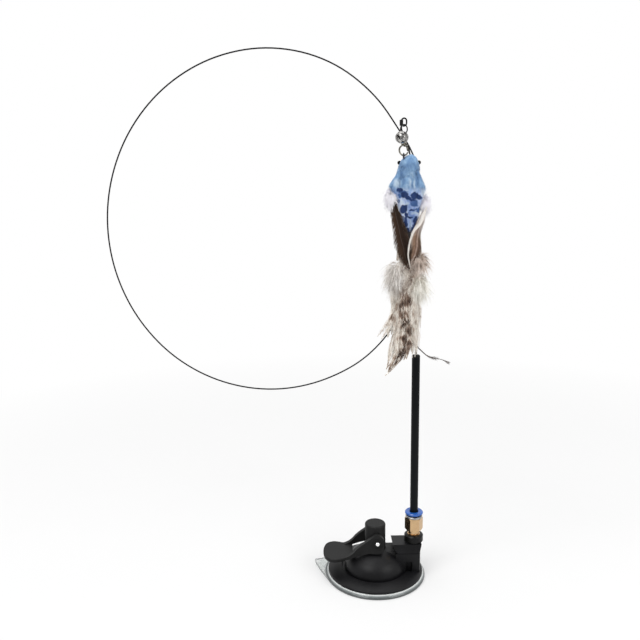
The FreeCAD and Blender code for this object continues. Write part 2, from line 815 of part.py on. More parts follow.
def clasp_body():
    """Clasp: swivel housing and an open hook, with its cheek for the gate."""
    centre = swivel_centre()
    low = centre.z - SWIVEL_R
    x, y = centre.x, centre.y
    housing = cylinder(1.75, low - 5.0, low - 0.9, x, y)
    housing = housing.makeFillet(0.5, [edge for edge in housing.Edges if at_height(low - 0.9)(edge)])
    well = cylinder(1.06, low - 4.2, low - 3.3, x, y)
    bore = cylinder(0.61, low - 4.1, low, x, y)
    top = clasp_top()
    hook = wire_along(path_edges([
        V(x, y, top),
        V(x - 0.6, y, top - 0.6),
        (V(x - 2.8, y, top - 3.0), V(x - 2.3, y, top - 5.5)),
        (V(x, y, top - HOOK_DROP), V(x + 2.4, y, top - 5.6)),
        V(x + 2.7, y, top - 5.0),
    ]), CLASP_WIRE_R)
    cheek = block((x, x + 2.9), (y - 1.1, y + 1.1), (top - 1.6, top + 0.2))
    slot = block((x + 0.9, x + 4), (y - 0.5, y + 0.5), (top - 3, top - 0.1))
    pin_hole = bar_along_y(GATE_PIN_R, y - 3, y + 3, x + GATE_PIN_OUT, top - GATE_PIN_DROP)
    body = housing.fuse([hook, cheek]).cut([well, bore, slot, pin_hole])
    return one_solid(body)


def clasp_top():
    """Height where the clasp's hook begins."""
    return swivel_centre().z - SWIVEL_R - 4.6


def clasp_gate():
    """Sprung gate that closes the hook."""
    x, y = swivel_centre().x, swivel_centre().y
    top = clasp_top()
    gate = plate([
        (x + 1.3, top - 0.5),
        ((x + 2.0, top - 0.15), (x + 2.7, top - 0.6)),
        (x + 3.2, top - 4.75),
        (x + 2.2, top - 4.3),
        (x + 1.3, top - 1.2),
        (x + 1.3, top - 0.5),
    ], y - 0.42, y + 0.42)
    hole = bar_along_y(GATE_PIN_R + 0.05, y - 3, y + 3, x + GATE_PIN_OUT, top - GATE_PIN_DROP)
    return one_solid(gate.cut(hole))


def gate_pin():
    """Rivet that the gate turns on."""
    centre = swivel_centre()
    x = centre.x + GATE_PIN_OUT
    return bar_along_y(GATE_PIN_R, centre.y - 1.25, centre.y + 1.25, x, clasp_top() - GATE_PIN_DROP)


def bell_way():
    """Direction from the ring to the bell's middle."""
    return V(-0.12, -0.84, -0.52).normalize()


def bell_hang():
    """Middle of the ring's wire where the bell's loop sits."""
    slope = math.radians(BELL_SLOPE)
    return link_centre() - link_way() * (LINK_R * math.cos(slope)) + V(0, 0, LINK_R * math.sin(slope))


def bell_hang_way():
    """Direction of the ring's wire where the bell's loop sits."""
    slope = math.radians(BELL_SLOPE)
    return link_way() * math.sin(slope) + V(0, 0, math.cos(slope))


def bell_loop_centre():
    """Centre of the bell's loop."""
    reach = BELL_LOOP_R - RING_WIRE_R - BELL_LOOP_WIRE_R - CLEAR
    return bell_hang() + bell_way() * reach


def bell_centre():
    """Middle of the bell."""
    return bell_loop_centre() + bell_way() * (BELL_LOOP_R + BELL_R - 0.1)


def placed(shape, origin, x_way, z_way):
    """Shape moved from its own axes to a place with the given directions."""
    turn = FreeCAD.Rotation(x_way, z_way.cross(x_way), z_way, "ZXY")
    moved = shape.copy()
    moved.Placement = FreeCAD.Placement(origin, turn)
    return moved


def at_bell(shape):
    """Shape moved from the bell's own axes, loop upwards, to where the bell hangs."""
    up = bell_way() * -1
    side = bell_hang_way().cross(up).normalize()
    return placed(shape, bell_centre(), side, up)


def bell_loop():
    """Small wire loop on top of the bell."""
    height = BELL_R + BELL_LOOP_R - 0.1
    return at_bell(ring_about(V(0, 0, height), V(0, 1, 0), BELL_LOOP_R, BELL_LOOP_WIRE_R))


def bell_shell():
    """Hollow bell with a seam band and one slanting slot with round ends."""
    ball = Part.makeSphere(BELL_R)
    hollow = Part.makeSphere(BELL_R - BELL_WALL)
    band = pipe(BELL_R + 0.25, BELL_R - BELL_WALL, -0.3, 0.3)
    slot = block((-BELL_R, BELL_R), (-0.4, 0.4), (-BELL_R - 1, -BELL_SLOT_DEPTH))
    ends = Part.makeCylinder(0.75, 2 * BELL_R + 2, V(-BELL_R - 1, 0, -BELL_SLOT_DEPTH), V(1, 0, 0))
    cuts = slot.fuse(ends)
    cuts.rotate(V(0, 0, 0), V(0, 0, 1), BELL_SLOT_TURN)
    shell = one_solid(ball.fuse(band).cut(hollow).cut(cuts))
    return one_solid(at_bell(shell).cut(bell_loop()))


def bell_ball():
    """Loose ball inside the bell."""
    depth = BELL_R - BELL_WALL - BALL_R - 0.12
    return Part.makeSphere(BALL_R, bell_centre() + bell_way() * depth)


def bird_head():
    """Stuffed head."""
    return stuffed([
        (20.9, BIRD_Y, 316.2, 1.6, 1.4),
        (20.3, BIRD_Y, 315.0, 4.0, 3.8),
        (19.9, BIRD_Y, 312.0, 6.1, 5.8),
        (19.5, BIRD_Y, 308.0, 7.2, 6.6),
        (19.0, BIRD_Y, 304.0, 7.4, 6.9),
        (19.3, BIRD_Y, 301.0, 8.6, 7.4),
    ])


def bird_body():
    """Stuffed body that tapers to the point of the tail."""
    return stuffed([
        (19.3, BIRD_Y, 301.0, 8.6, 7.4),
        (19.8, BIRD_Y, 296.0, 9.6, 8.0),
        (20.0, BIRD_Y, 288.0, 8.0, 7.8),
        (19.9, BIRD_Y, 280.0, 5.7, 6.4),
        (20.1, BIRD_Y, 273.0, 3.5, 4.6),
        (20.6, BIRD_Y, 268.0, 1.8, 2.6),
        (20.9, BIRD_Y, 265.5, 0.8, 1.0),
    ])


WINGS = {
    "bird_wing_left": [
        (12.9, 307.0, 0.8, 1.5),
        (12.2, 304.0, 1.5, 2.4),
        (10.2, 300.0, 2.1, 3.2),
        (8.9, 297.0, 2.5, 3.6),
        (10.8, 293.0, 2.6, 3.6),
        (13.6, 289.0, 2.2, 3.5),
        (15.2, 283.0, 1.9, 3.2),
        (17.0, 277.0, 1.6, 2.6),
        (18.9, 271.0, 1.0, 1.8),
        (20.2, 267.5, 0.5, 0.8),
    ],
    "bird_wing_right": [
        (25.0, 306.0, 0.8, 1.5),
        (25.6, 303.0, 1.6, 2.4),
        (26.9, 299.0, 2.0, 3.2),
        (27.9, 295.0, 2.4, 3.6),
        (26.7, 291.0, 2.4, 3.5),
        (24.4, 284.0, 2.2, 3.2),
        (22.8, 277.0, 1.7, 2.6),
        (21.6, 271.0, 1.0, 1.8),
        (20.9, 267.5, 0.5, 0.8),
    ],
}


def bird_wing(sections):
    """Stuffed wing folded against one side of the body, through (x, z, half x, half y)."""
    return stuffed([(x, BIRD_Y - 3.4, z, half_x, half_y) for x, z, half_x, half_y in sections])


def bird_eyes():
    """Two black beads on the sides of the head."""
    return [Part.makeSphere(EYE_BEAD_R, V(x, BIRD_Y + 1.6, EYE_BEAD_Z)) for x in EYE_BEAD_X]


def bird_beak():
    """Small felt beak on the far side of the head."""
    return Part.makeCone(1.7, 0.3, 4.2, V(20.3, BIRD_Y + 5.8, 308.6), V(0, 1, -0.35))


def hook_low():
    """Middle of the hook's wire at its lowest point."""
    return V(swivel_centre().x, swivel_centre().y, clasp_top() - HOOK_DROP)


def bird_loop():
    """Cord loop sewn into the head, hung in the clasp."""
    low = hook_low()
    centre = low + V(0, 0, CLASP_WIRE_R + CORD_R + CLEAR - LOOP_R)
    return ring_about(centre, V(1, 0, 0), LOOP_R, CORD_R)


def feather_binding():
    """Bound ends of the feathers under the tail."""
    return stuffed([
        (20.6, BIRD_Y + 2.5, 277.0, 2.4, 2.4),
        (20.6, BIRD_Y + 2.0, 270.0, 5.2, 5.0),
        (20.6, BIRD_Y + 1.0, 263.0, 6.0, 6.0),
        (20.6, BIRD_Y, 256.5, 4.6, 5.2),
    ])


PUFFS = {
    "white_puff_left": (7.2, BIRD_Y - 3.0, 288.4, 3.6, 7.4),
    "white_puff_right": (30.2, BIRD_Y - 2.0, 284.2, 3.8, 6.2),
}

BLADES = {
    "brown_feather_left": [
        (12.0, -29.0, 287.0, 2.0, 1.0),
        (11.4, -29.5, 279.5, 6.0, 1.6),
        (12.2, -30.0, 270.0, 8.6, 1.8),
        (14.0, -30.5, 260.5, 10.0, 1.8),
        (16.8, -30.5, 251.0, 7.6, 1.6),
        (20.6, -30.0, 241.5, 1.2, 0.8),
    ],
    "brown_feather_right": [
        (30.2, -29.0, 282.0, 2.0, 1.0),
        (29.6, -29.5, 275.5, 4.8, 1.6),
        (27.4, -30.0, 267.0, 7.2, 1.8),
        (25.4, -30.5, 258.5, 9.0, 1.8),
        (24.4, -30.5, 250.5, 7.8, 1.6),
        (22.4, -30.0, 242.0, 1.2, 0.8),
    ],
    "hackle_front": [
        (20.4, -27.5, 257.5, 4.0, 1.6),
        (20.6, -33.0, 244.0, 13.0, 2.4),
        (19.8, -34.0, 226.0, 15.5, 2.6),
        (18.6, -34.0, 206.0, 13.0, 2.4),
        (17.8, -33.5, 190.0, 6.0, 1.8),
        (17.2, -33.0, 182.0, 1.2, 0.8),
    ],
    "hackle_upper_left": [
        (18.6, -26.4, 257.0, 4.0, 1.6),
        (12.2, -29.6, 246.0, 12.0, 2.2),
        (10.8, -30.4, 232.0, 12.4, 2.4),
        (12.0, -30.4, 218.0, 9.0, 2.0),
        (13.2, -30.2, 208.0, 1.2, 0.8),
    ],
    "hackle_upper_right": [
        (22.4, -25.4, 257.0, 4.0, 1.6),
        (29.4, -27.0, 247.5, 11.0, 2.2),
        (30.4, -27.2, 233.0, 11.4, 2.4),
        (31.2, -27.2, 221.0, 8.4, 2.0),
        (31.6, -27.2, 212.0, 1.2, 0.8),
    ],
    "hackle_lower_left": [
        (19.2, -24.6, 256.5, 4.0, 1.6),
        (15.0, -27.0, 230.0, 9.0, 2.0),
        (12.2, -27.4, 206.0, 11.6, 2.4),
        (11.4, -27.4, 189.0, 11.0, 2.2),
        (9.4, -27.2, 175.0, 5.4, 1.6),
        (7.4, -27.0, 167.0, 1.2, 0.8),
    ],
    "hackle_middle": [
        (21.0, -23.6, 256.5, 4.0, 1.6),
        (22.4, -24.0, 238.0, 13.0, 2.4),
        (23.0, -24.0, 214.0, 15.0, 2.6),
        (22.6, -24.0, 197.0, 12.6, 2.4),
        (20.4, -23.8, 184.0, 6.4, 1.8),
        (18.6, -23.6, 174.0, 1.2, 0.8),
    ],
    "hackle_back": [
        (20.6, -22.4, 256.5, 4.0, 1.6),
        (20.2, -20.0, 240.0, 12.6, 2.4),
        (20.2, -19.4, 216.0, 14.0, 2.6),
        (19.8, -19.6, 199.0, 10.4, 2.2),
        (19.2, -19.8, 187.0, 1.2, 0.8),
    ],
}


def puff(x, y, z, half_x, half_z):
    """Small round tuft of down."""
    return stuffed([
        (x, y, z - half_z, half_x * 0.25, half_x * 0.25),
        (x, y, z - half_z * 0.7, half_x * 0.75, half_x * 0.7),
        (x, y, z, half_x, half_x * 0.9),
        (x, y, z + half_z * 0.7, half_x * 0.7, half_x * 0.65),
        (x, y, z + half_z, half_x * 0.2, half_x * 0.2),
    ])


def toy_pieces():
    """Solids of the bird and its feathers, each cut by the larger ones before it."""
    rough = [
        ("bird_body", bird_body()),
        ("bird_head", bird_head()),
        ("bird_wing_left", bird_wing(WINGS["bird_wing_left"])),
        ("bird_wing_right", bird_wing(WINGS["bird_wing_right"])),
        ("feather_binding", feather_binding()),
        ("bird_beak", bird_beak()),
        ("bird_loop", bird_loop()),
    ]
    rough += [(name, puff(*numbers)) for name, numbers in PUFFS.items()]
    rough += [(name, feather(stations)) for name, stations in BLADES.items()]
    pieces = {}
    for name, shape in rough:
        for other in pieces.values():
            if shape.BoundBox.intersect(other.BoundBox):
                shape = shape.cut(other)
        pieces[name] = one_solid(shape)
    eyes = [one_solid(eye.cut(pieces["bird_head"])) for eye in bird_eyes()]
    pieces["bird_eyes"] = Part.makeCompound(eyes)
    return pieces


def all_pieces():
    """Every piece of the wand by its node's name."""
    wire = whip_wire()
    pieces = {
        "suction_pad": suction_pad(),
        "base_cover": base_cover(),
        "return_spring": return_spring(),
        "lock_post": lock_post(),
        "lock_lever": lock_lever(),
        "lever_pin": lever_pin(),
        "adapter_block": adapter_block(),
        "thread_ring": thread_ring(),
        "fitting_body": fitting_body(),
        "fitting_collar": fitting_collar(),
        "tube_seal": tube_seal(),
        "grab_ring": grab_ring(),
        "release_collet": release_collet(),
        "rod_tube": rod_tube(),
        "rod_tip_plug": rod_tip_plug(wire),
        "wire_ferrule": wire_ferrule(wire),
        "whip_wire": wire,
        "wire_end_sleeve": wire_end_sleeve(wire),
        "split_ring": split_ring(),
        "swivel_eye": swivel_eye(),
        "clasp_body": clasp_body(),
        "clasp_gate": clasp_gate(),
        "gate_pin": gate_pin(),
        "bell_shell": bell_shell(),
        "bell_loop": bell_loop(),
        "bell_ball": bell_ball(),
    }
    pieces.update(toy_pieces())
    return pieces


def main():
    """Build every piece and write it."""
    os.makedirs("parts", exist_ok=True)
    for name, shape in all_pieces().items():
        if not shape.isValid() or not shape.Solids:
            print("check", name, "valid:", shape.isValid(), "solids:", len(shape.Solids))
        shape.exportStep(os.path.join("parts", name + ".step"))


main()
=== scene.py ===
import math
import random

import bpy
from mathutils import Matrix, Vector, noise

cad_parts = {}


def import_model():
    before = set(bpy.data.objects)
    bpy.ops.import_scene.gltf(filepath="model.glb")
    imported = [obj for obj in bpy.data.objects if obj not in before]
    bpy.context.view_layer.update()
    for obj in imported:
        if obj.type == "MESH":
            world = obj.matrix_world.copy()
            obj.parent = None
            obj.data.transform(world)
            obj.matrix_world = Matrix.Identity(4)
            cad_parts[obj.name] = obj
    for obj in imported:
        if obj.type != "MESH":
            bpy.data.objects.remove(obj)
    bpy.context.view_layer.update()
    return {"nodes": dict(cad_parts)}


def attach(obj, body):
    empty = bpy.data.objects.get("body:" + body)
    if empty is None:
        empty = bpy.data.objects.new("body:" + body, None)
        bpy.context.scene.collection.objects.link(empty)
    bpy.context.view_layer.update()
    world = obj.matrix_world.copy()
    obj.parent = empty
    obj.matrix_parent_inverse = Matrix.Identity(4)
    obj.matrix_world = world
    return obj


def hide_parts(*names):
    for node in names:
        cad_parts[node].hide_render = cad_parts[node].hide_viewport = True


# Looks of the cat teaser wand. Lengths are millimetres, turned into metres where a mesh or a
# material is made. The viewer stands at -Y. The bird hangs head up with its back to the viewer.

MM = 0.001
TOY = "toy"
FRONT = Vector((0.0, -1.0, 0.0))
UP = Vector((0.0, 0.0, 1.0))
BLACK = (0.0, 0.0, 0.0)
WHITE = (1.0, 1.0, 1.0)

# Camera, its turns in radians
CAMERA_AT = (-40.3, -504.7, 303.9)
CAMERA_PITCH = 0.2
CAMERA_ROLL = -0.014
CAMERA_LENS = 39.94
CAMERA_SENSOR = 36.0

# Studio, in metres and watts. Soft boxes: name, place, target, side, power
SOFT_BOXES = [
    ("key_light", (-0.7, -0.8, 1.3), (0.0, 0.0, 0.15), 0.9, 12.0),
    ("fill_light", (0.9, -0.8, 0.9), (0.0, 0.0, 0.15), 0.8, 7.0),
    ("top_light", (0.0, 0.2, 1.5), (0.0, 0.0, 0.1), 1.0, 6.0),
]
WORLD_LEVEL = 0.7
MIRROR_DUSK = 0.35
FLOOR_HALF = 6000.0
FLOOR_FADE = (0.22, 0.7)
FLOOR_GREYS = (0.50, 0.52)
FLOOR_GLOW = 0.29

# Plastics and rubber: name, dark, light, roughness, height of the grain, specular level, nodes
PLASTICS = [
    ("black_plastic", (0.003, 0.003, 0.0035), (0.006, 0.006, 0.007), 0.42, 0.02, 0.22,
     ("base_cover", "adapter_block")),
    ("lever_plastic", (0.009,) * 3, (0.015,) * 3, 0.52, 0.02, 0.16, ("lock_post", "lock_lever")),
    ("ring_plastic", (0.003,) * 3, (0.006,) * 3, 0.3, 0.008, 0.18, ("thread_ring",)),
    ("tube_plastic", (0.003, 0.004, 0.0045), (0.006, 0.007, 0.008), 0.4, 0.006, 0.09, ("rod_tube",)),
    ("wire_black", (0.004, 0.004, 0.005), (0.008, 0.008, 0.009), 0.6, 0.004, 0.06, ("whip_wire",)),
    ("dark_ring", (0.004,) * 3, (0.009,) * 3, 0.5, 0.004, 0.1, ("split_ring",)),
    ("bead_black", (0.003,) * 3, (0.006,) * 3, 0.3, 0.006, 0.1, ("bird_eyes",)),
    ("black_rubber", (0.006,) * 3, (0.012,) * 3, 0.6, 0.01, 0.16,
     ("tube_seal", "rod_tip_plug", "wire_end_sleeve")),
]

# Turned metals: name, colour, roughness, nodes
TURNED_METALS = [
    ("brass", (0.62, 0.42, 0.23), 0.2, ("fitting_body", "wire_ferrule")),
    ("nickel", (0.34,) * 3, 0.28, ("fitting_collar",)),
    ("spring_steel", (0.62,) * 3, 0.3, ("return_spring", "grab_ring", "bell_ball")),
    ("pin_steel", (0.95,) * 3, 0.12, ("lever_pin", "gate_pin")),
]

# Plated metals mottled with painted reflections: name, dark, light, roughness, scale of the mottling,
# nodes
PAINTED_REFLECTION_METALS = [
    ("clasp_metal", (0.03, 0.028, 0.022), (0.42, 0.40, 0.34), 0.22, 900.0,
     ("swivel_eye", "clasp_body", "clasp_gate")),
    ("bell_nickel", (0.06, 0.058, 0.055), (0.56, 0.55, 0.53), 0.12, 520.0,
     ("bell_shell", "bell_loop")),
]
COLLET_BLUE = (0.018, 0.105, 0.42)

# Pad: painted shade darkens its rim towards the floor and clears over its thickness, and the tab starts
# past the rim
PAD_THICK = 4.0
TAB_START = 38.3
TAB_FULL = 39.6

# Bird: level ovals of (x, z, half x, half y) from the top down
BIRD_Y = -26.8
WING_Y = BIRD_Y - 3.4
BIRD_SECTIONS = [
    (20.9, 316.9, 0.8, 0.7), (20.7, 316.2, 2.4, 2.2), (20.3, 315.0, 4.1, 3.9), (19.9, 312.0, 6.1, 5.8),
    (19.5, 308.0, 7.2, 6.6), (19.0, 304.0, 7.5, 6.9), (19.3, 300.0, 8.8, 7.5), (19.8, 295.5, 9.7, 8.0),
    (20.0, 288.0, 8.0, 7.8), (20.2, 280.0, 6.2, 6.4), (20.5, 273.0, 4.2, 4.6), (20.6, 268.0, 2.2, 2.6),
    (20.6, 265.4, 0.5, 0.7),
]
LEFT_WING = [
    (12.9, 307.0, 0.8, 1.5), (12.6, 304.0, 1.9, 2.4), (11.2, 300.0, 3.1, 3.2), (10.3, 297.0, 3.9, 3.6),
    (12.0, 293.0, 3.8, 3.6), (14.2, 289.0, 3.3, 3.5), (15.2, 283.0, 2.8, 3.2), (16.5, 277.0, 2.3, 2.6),
    (18.6, 271.0, 1.5, 1.8), (20.2, 267.0, 0.5, 0.6),
]
RIGHT_WING = [
    (24.8, 306.0, 0.8, 1.5), (25.2, 303.0, 2.0, 2.4), (26.0, 299.0, 2.9, 3.2), (26.6, 295.0, 3.7, 3.6),
    (25.5, 291.0, 3.6, 3.5), (23.9, 284.0, 3.3, 3.2), (23.2, 277.0, 2.6, 2.6), (22.1, 271.0, 1.6, 1.8),
    (20.9, 267.0, 0.5, 0.6),
]
PILE_WIDTH = 0.34
PILE_LEAN = 0.85
PILE_SWAY = 0.7
PILE_SAMPLES = 200

# Patches on the cloth: (x, z, half width, half height)
NAVY_PATCHES = [
    (13.4, 294.4, 2.6, 1.7), (16.0, 291.0, 2.6, 2.2), (18.6, 289.2, 2.2, 1.5), (22.6, 290.8, 3.0, 2.6),
    (25.6, 289.4, 2.2, 1.9), (20.6, 288.2, 2.4, 1.3), (15.8, 281.8, 2.4, 3.4), (17.8, 278.2, 1.4, 1.8),
    (21.6, 281.0, 3.2, 0.7), (18.6, 276.6, 4.0, 0.6), (17.2, 273.4, 1.5, 4.2), (18.6, 267.6, 1.2, 2.4),
    (23.8, 273.6, 2.0, 4.0), (22.0, 268.8, 1.4, 3.0), (20.5, 265.6, 1.4, 1.4),
]
PALE_PATCHES = [
    (11.0, 298.6, 3.0, 4.0), (19.4, 298.4, 1.4, 4.6), (22.4, 297.6, 1.0, 4.0), (28.8, 292.0, 2.2, 3.4),
    (14.2, 286.6, 1.9, 1.4), (17.8, 285.0, 1.5, 2.6), (22.4, 279.0, 2.6, 1.4), (20.6, 272.4, 1.2, 4.0),
]
BLUE_PATCHES = [
    (13.4, 290.6, 2.0, 1.6), (15.0, 293.0, 3.6, 1.6), (22.4, 285.4, 2.8, 3.0), (25.4, 281.4, 1.6, 2.6),
    (12.6, 287.0, 1.4, 1.6),
]

# Layers of patches: patches, scale and reach of their wander, fade, strength, colour
PRINTS = [
    (PALE_PATCHES, 300.0, 3.0, (0.3, 1.3), 0.62, (0.66, 0.77, 0.84)),
    (BLUE_PATCHES, 330.0, 4.0, (0.7, 1.15), 1.0, (0.075, 0.155, 0.37)),
    (NAVY_PATCHES, 400.0, 3.6, (0.78, 1.1), 1.0, (0.022, 0.050, 0.165)),
]

# Heights between which the printed cloth takes over from the plain cloth of the back
PRINT_START = 296.5
PRINT_FULL = 291.5

# Cord loop on the head
LOOP_CENTRE = Vector((15.956, -28.09, 315.63))
LOOP_R = 2.0
STRAND_R = 0.24
STRAND_OUT = 0.2
CORD_TWISTS = 14
LOOP_STEPS = 120

# White down beside the body: side, centre, half size, count of strands, lean, seed
WHITE_DOWN = [
    ("left", (7.2, -30.2, 289.6), (2.4, 2.6, 5.4), 1600, (-0.1, -0.15, -0.5), 31),
    ("right", (30.2, -29.2, 285.6), (2.3, 2.4, 4.8), 1000, (0.15, -0.15, -0.5), 32),
]

# Fluff at the hackles' roots: name, its material, and the same as above
FLUFF = [
    ("fluff_left", ("grey_fluff", (0.34, 0.29, 0.25), (0.92, 0.89, 0.85), 1.3),
     (10.6, -30.0, 238.6), (5.0, 3.6, 9.0), 1000, (-0.3, -0.1, -0.9), 71),
    ("fluff_right", ("cream_fluff", (0.50, 0.46, 0.38), (0.98, 0.96, 0.90), 1.2),
     (27.2, -29.0, 231.0), (4.4, 3.6, 7.4), 900, (0.3, -0.1, -0.9), 72),
    ("dusky_fluff_right", ("dusky_fluff", (0.20, 0.14, 0.105), (0.74, 0.63, 0.55), 1.2),
     (26.6, -29.6, 248.0), (4.4, 3.2, 4.4), 700, (0.3, -0.1, -0.6), 73),
]

# Feathers: stations of (x, y, z, width) from root to tip
BROWN_LEFT = [
    (10.6, -31.0, 288.4, 0.8), (9.9, -32.0, 282.5, 6.4), (10.9, -32.8, 277.0, 8.0),
    (12.6, -33.2, 269.6, 9.8), (14.0, -33.6, 262.6, 10.9), (15.6, -33.4, 257.0, 9.0),
    (16.8, -32.8, 251.0, 7.2), (18.8, -32.0, 245.6, 3.6), (20.0, -31.4, 242.0, 0.5),
]
TAN_RIGHT = [
    (30.4, -30.6, 283.5, 0.8), (28.9, -31.6, 277.8, 4.6), (27.2, -32.4, 272.6, 5.4),
    (25.0, -32.8, 267.0, 7.0), (24.0, -33.2, 262.1, 8.6), (23.7, -33.2, 256.8, 9.4),
    (22.5, -32.8, 251.3, 7.6), (21.4, -32.2, 247.4, 4.0), (20.6, -31.4, 242.6, 0.6),
]
WHITE_RIM = [
    (30.8, -32.4, 283.6, 1.0), (28.8, -33.6, 278.6, 2.6), (26.4, -34.2, 272.8, 2.6),
    (22.6, -34.6, 268.4, 1.8), (20.5, -34.8, 263.4, 1.4), (19.3, -34.8, 258.6, 1.2),
    (18.7, -34.8, 253.4, 1.0), (18.9, -34.6, 249.8, 0.9), (19.6, -34.2, 246.6, 0.8),
    (20.3, -33.6, 243.4, 0.3),
]
STRAY_QUILL = [
    (22.0, -26.4, 192.6, 0.4), (26.3, -26.2, 187.5, 0.6), (29.5, -26.0, 184.3, 0.8),
    (32.6, -26.0, 181.4, 1.0), (35.4, -26.0, 179.6, 2.2), (38.0, -26.0, 178.8, 2.8),
    (41.2, -26.0, 178.2, 0.8), (44.6, -26.0, 177.3, 0.8), (47.4, -26.0, 175.9, 2.2),
    (49.4, -26.0, 174.8, 0.4),
]
VANE_SAMPLES = 120
SHAFT_SAMPLES = 40

# Binding: turns of thread over a core, each a list of (radius, z) about one upright axis
BINDING_X = 20.6
BINDING_Y = -25.4
BINDING_AXIS = Vector((BINDING_X, BINDING_Y, 0.0))
BINDING_CORE = [(1.6, 277.5), (4.2, 271.0), (5.2, 264.0), (4.0, 256.5)]
BINDING_THREAD = [(2.2, 277.0), (4.6, 271.0), (5.6, 264.0), (4.4, 257.0)]
THREAD_R = 0.62
THREAD_TURNS = 16
TURN_STEPS = 24

# Skirt of hackles from the binding down: middle line, height and half width
SKIRT = [
    (20.6, 257.0, 4.6), (20.0, 254.0, 8.6), (20.2, 249.0, 11.6), (19.4, 242.0, 13.4),
    (18.8, 236.0, 14.4), (18.8, 230.0, 14.6), (19.6, 224.0, 14.4), (18.2, 217.0, 12.6),
    (17.6, 210.0, 12.4), (16.8, 204.0, 12.8), (16.8, 196.4, 12.8), (17.6, 190.7, 12.2),
    (16.4, 185.8, 10.6), (13.8, 180.5, 8.4), (8.8, 176.0, 5.2), (3.4, 170.5, 2.0),
]
SKIRT_DEPTH = 8.0

# Between its paler sides, and the height below which a tip is low
SKIRT_MIDDLE = 17.4
SKIRT_REACH = 9.5
LOW_TIP = 198.0

# Tiers of the skirt: height of the tips and roots, count, width, tone, fluffy share
TIERS = [
    (224.0, 256.0, 22, 8.4, 0.00, 1.6),
    (213.0, 250.0, 22, 7.2, 0.00, 0.7),
    (201.0, 238.0, 26, 6.0, 0.00, 0.4),
    (189.0, 226.0, 24, 5.2, 0.00, 0.25),
    (180.0, 214.0, 16, 4.6, -0.04, 0.2),
    (170.0, 204.0, 10, 3.6, 0.00, 0.2),
]

# Outline of a hackle: share of its width at parts of its length
HACKLE_OUTLINE = [
    (0.0, 0.25), (0.2, 0.62), (0.42, 0.95), (0.62, 1.0), (0.8, 0.72), (0.93, 0.32), (1.0, 0.05),
]

# Short feathers over the binding on the far side: reach from its axis, height, width
COLLAR = [(3.6, 280.0, 1.0), (6.0, 272.0, 6.4), (7.4, 263.0, 7.4), (8.2, 254.0, 5.0), (8.6, 247.0, 0.4)]

# Narrow feathers apart from the skirt: pale ones at the right, in front of the rod's top, grey ones
# at the left, brown ones at the tip. Each group: its solid feather, tone and feathers' stations
STRANDS = [
    ("hackle_middle", -0.04, [
        [(20.0, -31.0, 212.0, 0.6), (22.8, -31.5, 203.0, 3.0),
         (24.6, -31.0, 192.0, 3.4), (24.8, -30.0, 180.6, 0.3)],
        [(22.0, -29.0, 216.0, 0.6), (25.6, -29.5, 206.0, 2.6),
         (27.4, -29.0, 197.0, 2.4), (27.8, -28.0, 187.4, 0.2)],
        [(18.0, -32.0, 206.0, 0.6), (20.6, -32.0, 198.0, 2.8),
         (22.4, -31.0, 190.0, 2.6), (23.2, -30.0, 180.0, 0.2)],
        [(24.0, -28.0, 224.0, 0.6), (27.0, -28.0, 217.0, 2.4),
         (28.4, -27.5, 210.0, 2.2), (28.6, -27.0, 200.6, 0.2)],
        [(19.0, -30.0, 204.0, 0.6), (23.0, -30.0, 196.0, 2.8),
         (25.6, -29.0, 189.0, 2.4), (26.4, -28.0, 182.0, 0.2)],
    ]),
    ("hackle_lower_left", 0.26, [
        [(12.0, -29.0, 218.0, 0.6), (8.6, -29.6, 210.0, 3.0),
         (4.8, -29.2, 203.0, 3.2), (-1.0, -28.4, 195.2, 0.3)],
        [(11.0, -30.0, 212.0, 0.6), (8.4, -30.6, 206.0, 2.4),
         (5.6, -30.2, 200.0, 2.6), (1.6, -29.4, 193.4, 0.3)],
    ]),
    ("hackle_middle", 0.14, [
        [(17.0, -31.0, 206.0, 0.6), (16.6, -31.8, 196.0, 3.4),
         (13.8, -31.4, 186.0, 3.6), (8.6, -30.0, 175.8, 0.3)],
        [(18.8, -31.0, 204.0, 0.6), (18.4, -31.8, 194.0, 3.2),
         (15.8, -31.4, 184.4, 3.2), (11.6, -30.0, 175.6, 0.3)],
        [(16.0, -30.0, 200.0, 0.6), (14.4, -30.8, 190.0, 3.2),
         (11.0, -30.4, 181.0, 3.2), (5.2, -29.0, 172.2, 0.3)],
        [(20.0, -31.0, 200.0, 0.6), (19.4, -31.8, 192.0, 3.2),
         (17.4, -31.4, 184.6, 3.2), (14.4, -30.0, 177.4, 0.3)],
        [(21.0, -31.0, 198.0, 0.6), (20.8, -31.8, 191.0, 3.0),
         (19.2, -31.4, 184.6, 2.8), (17.2, -30.0, 178.6, 0.3)],
    ]),
]

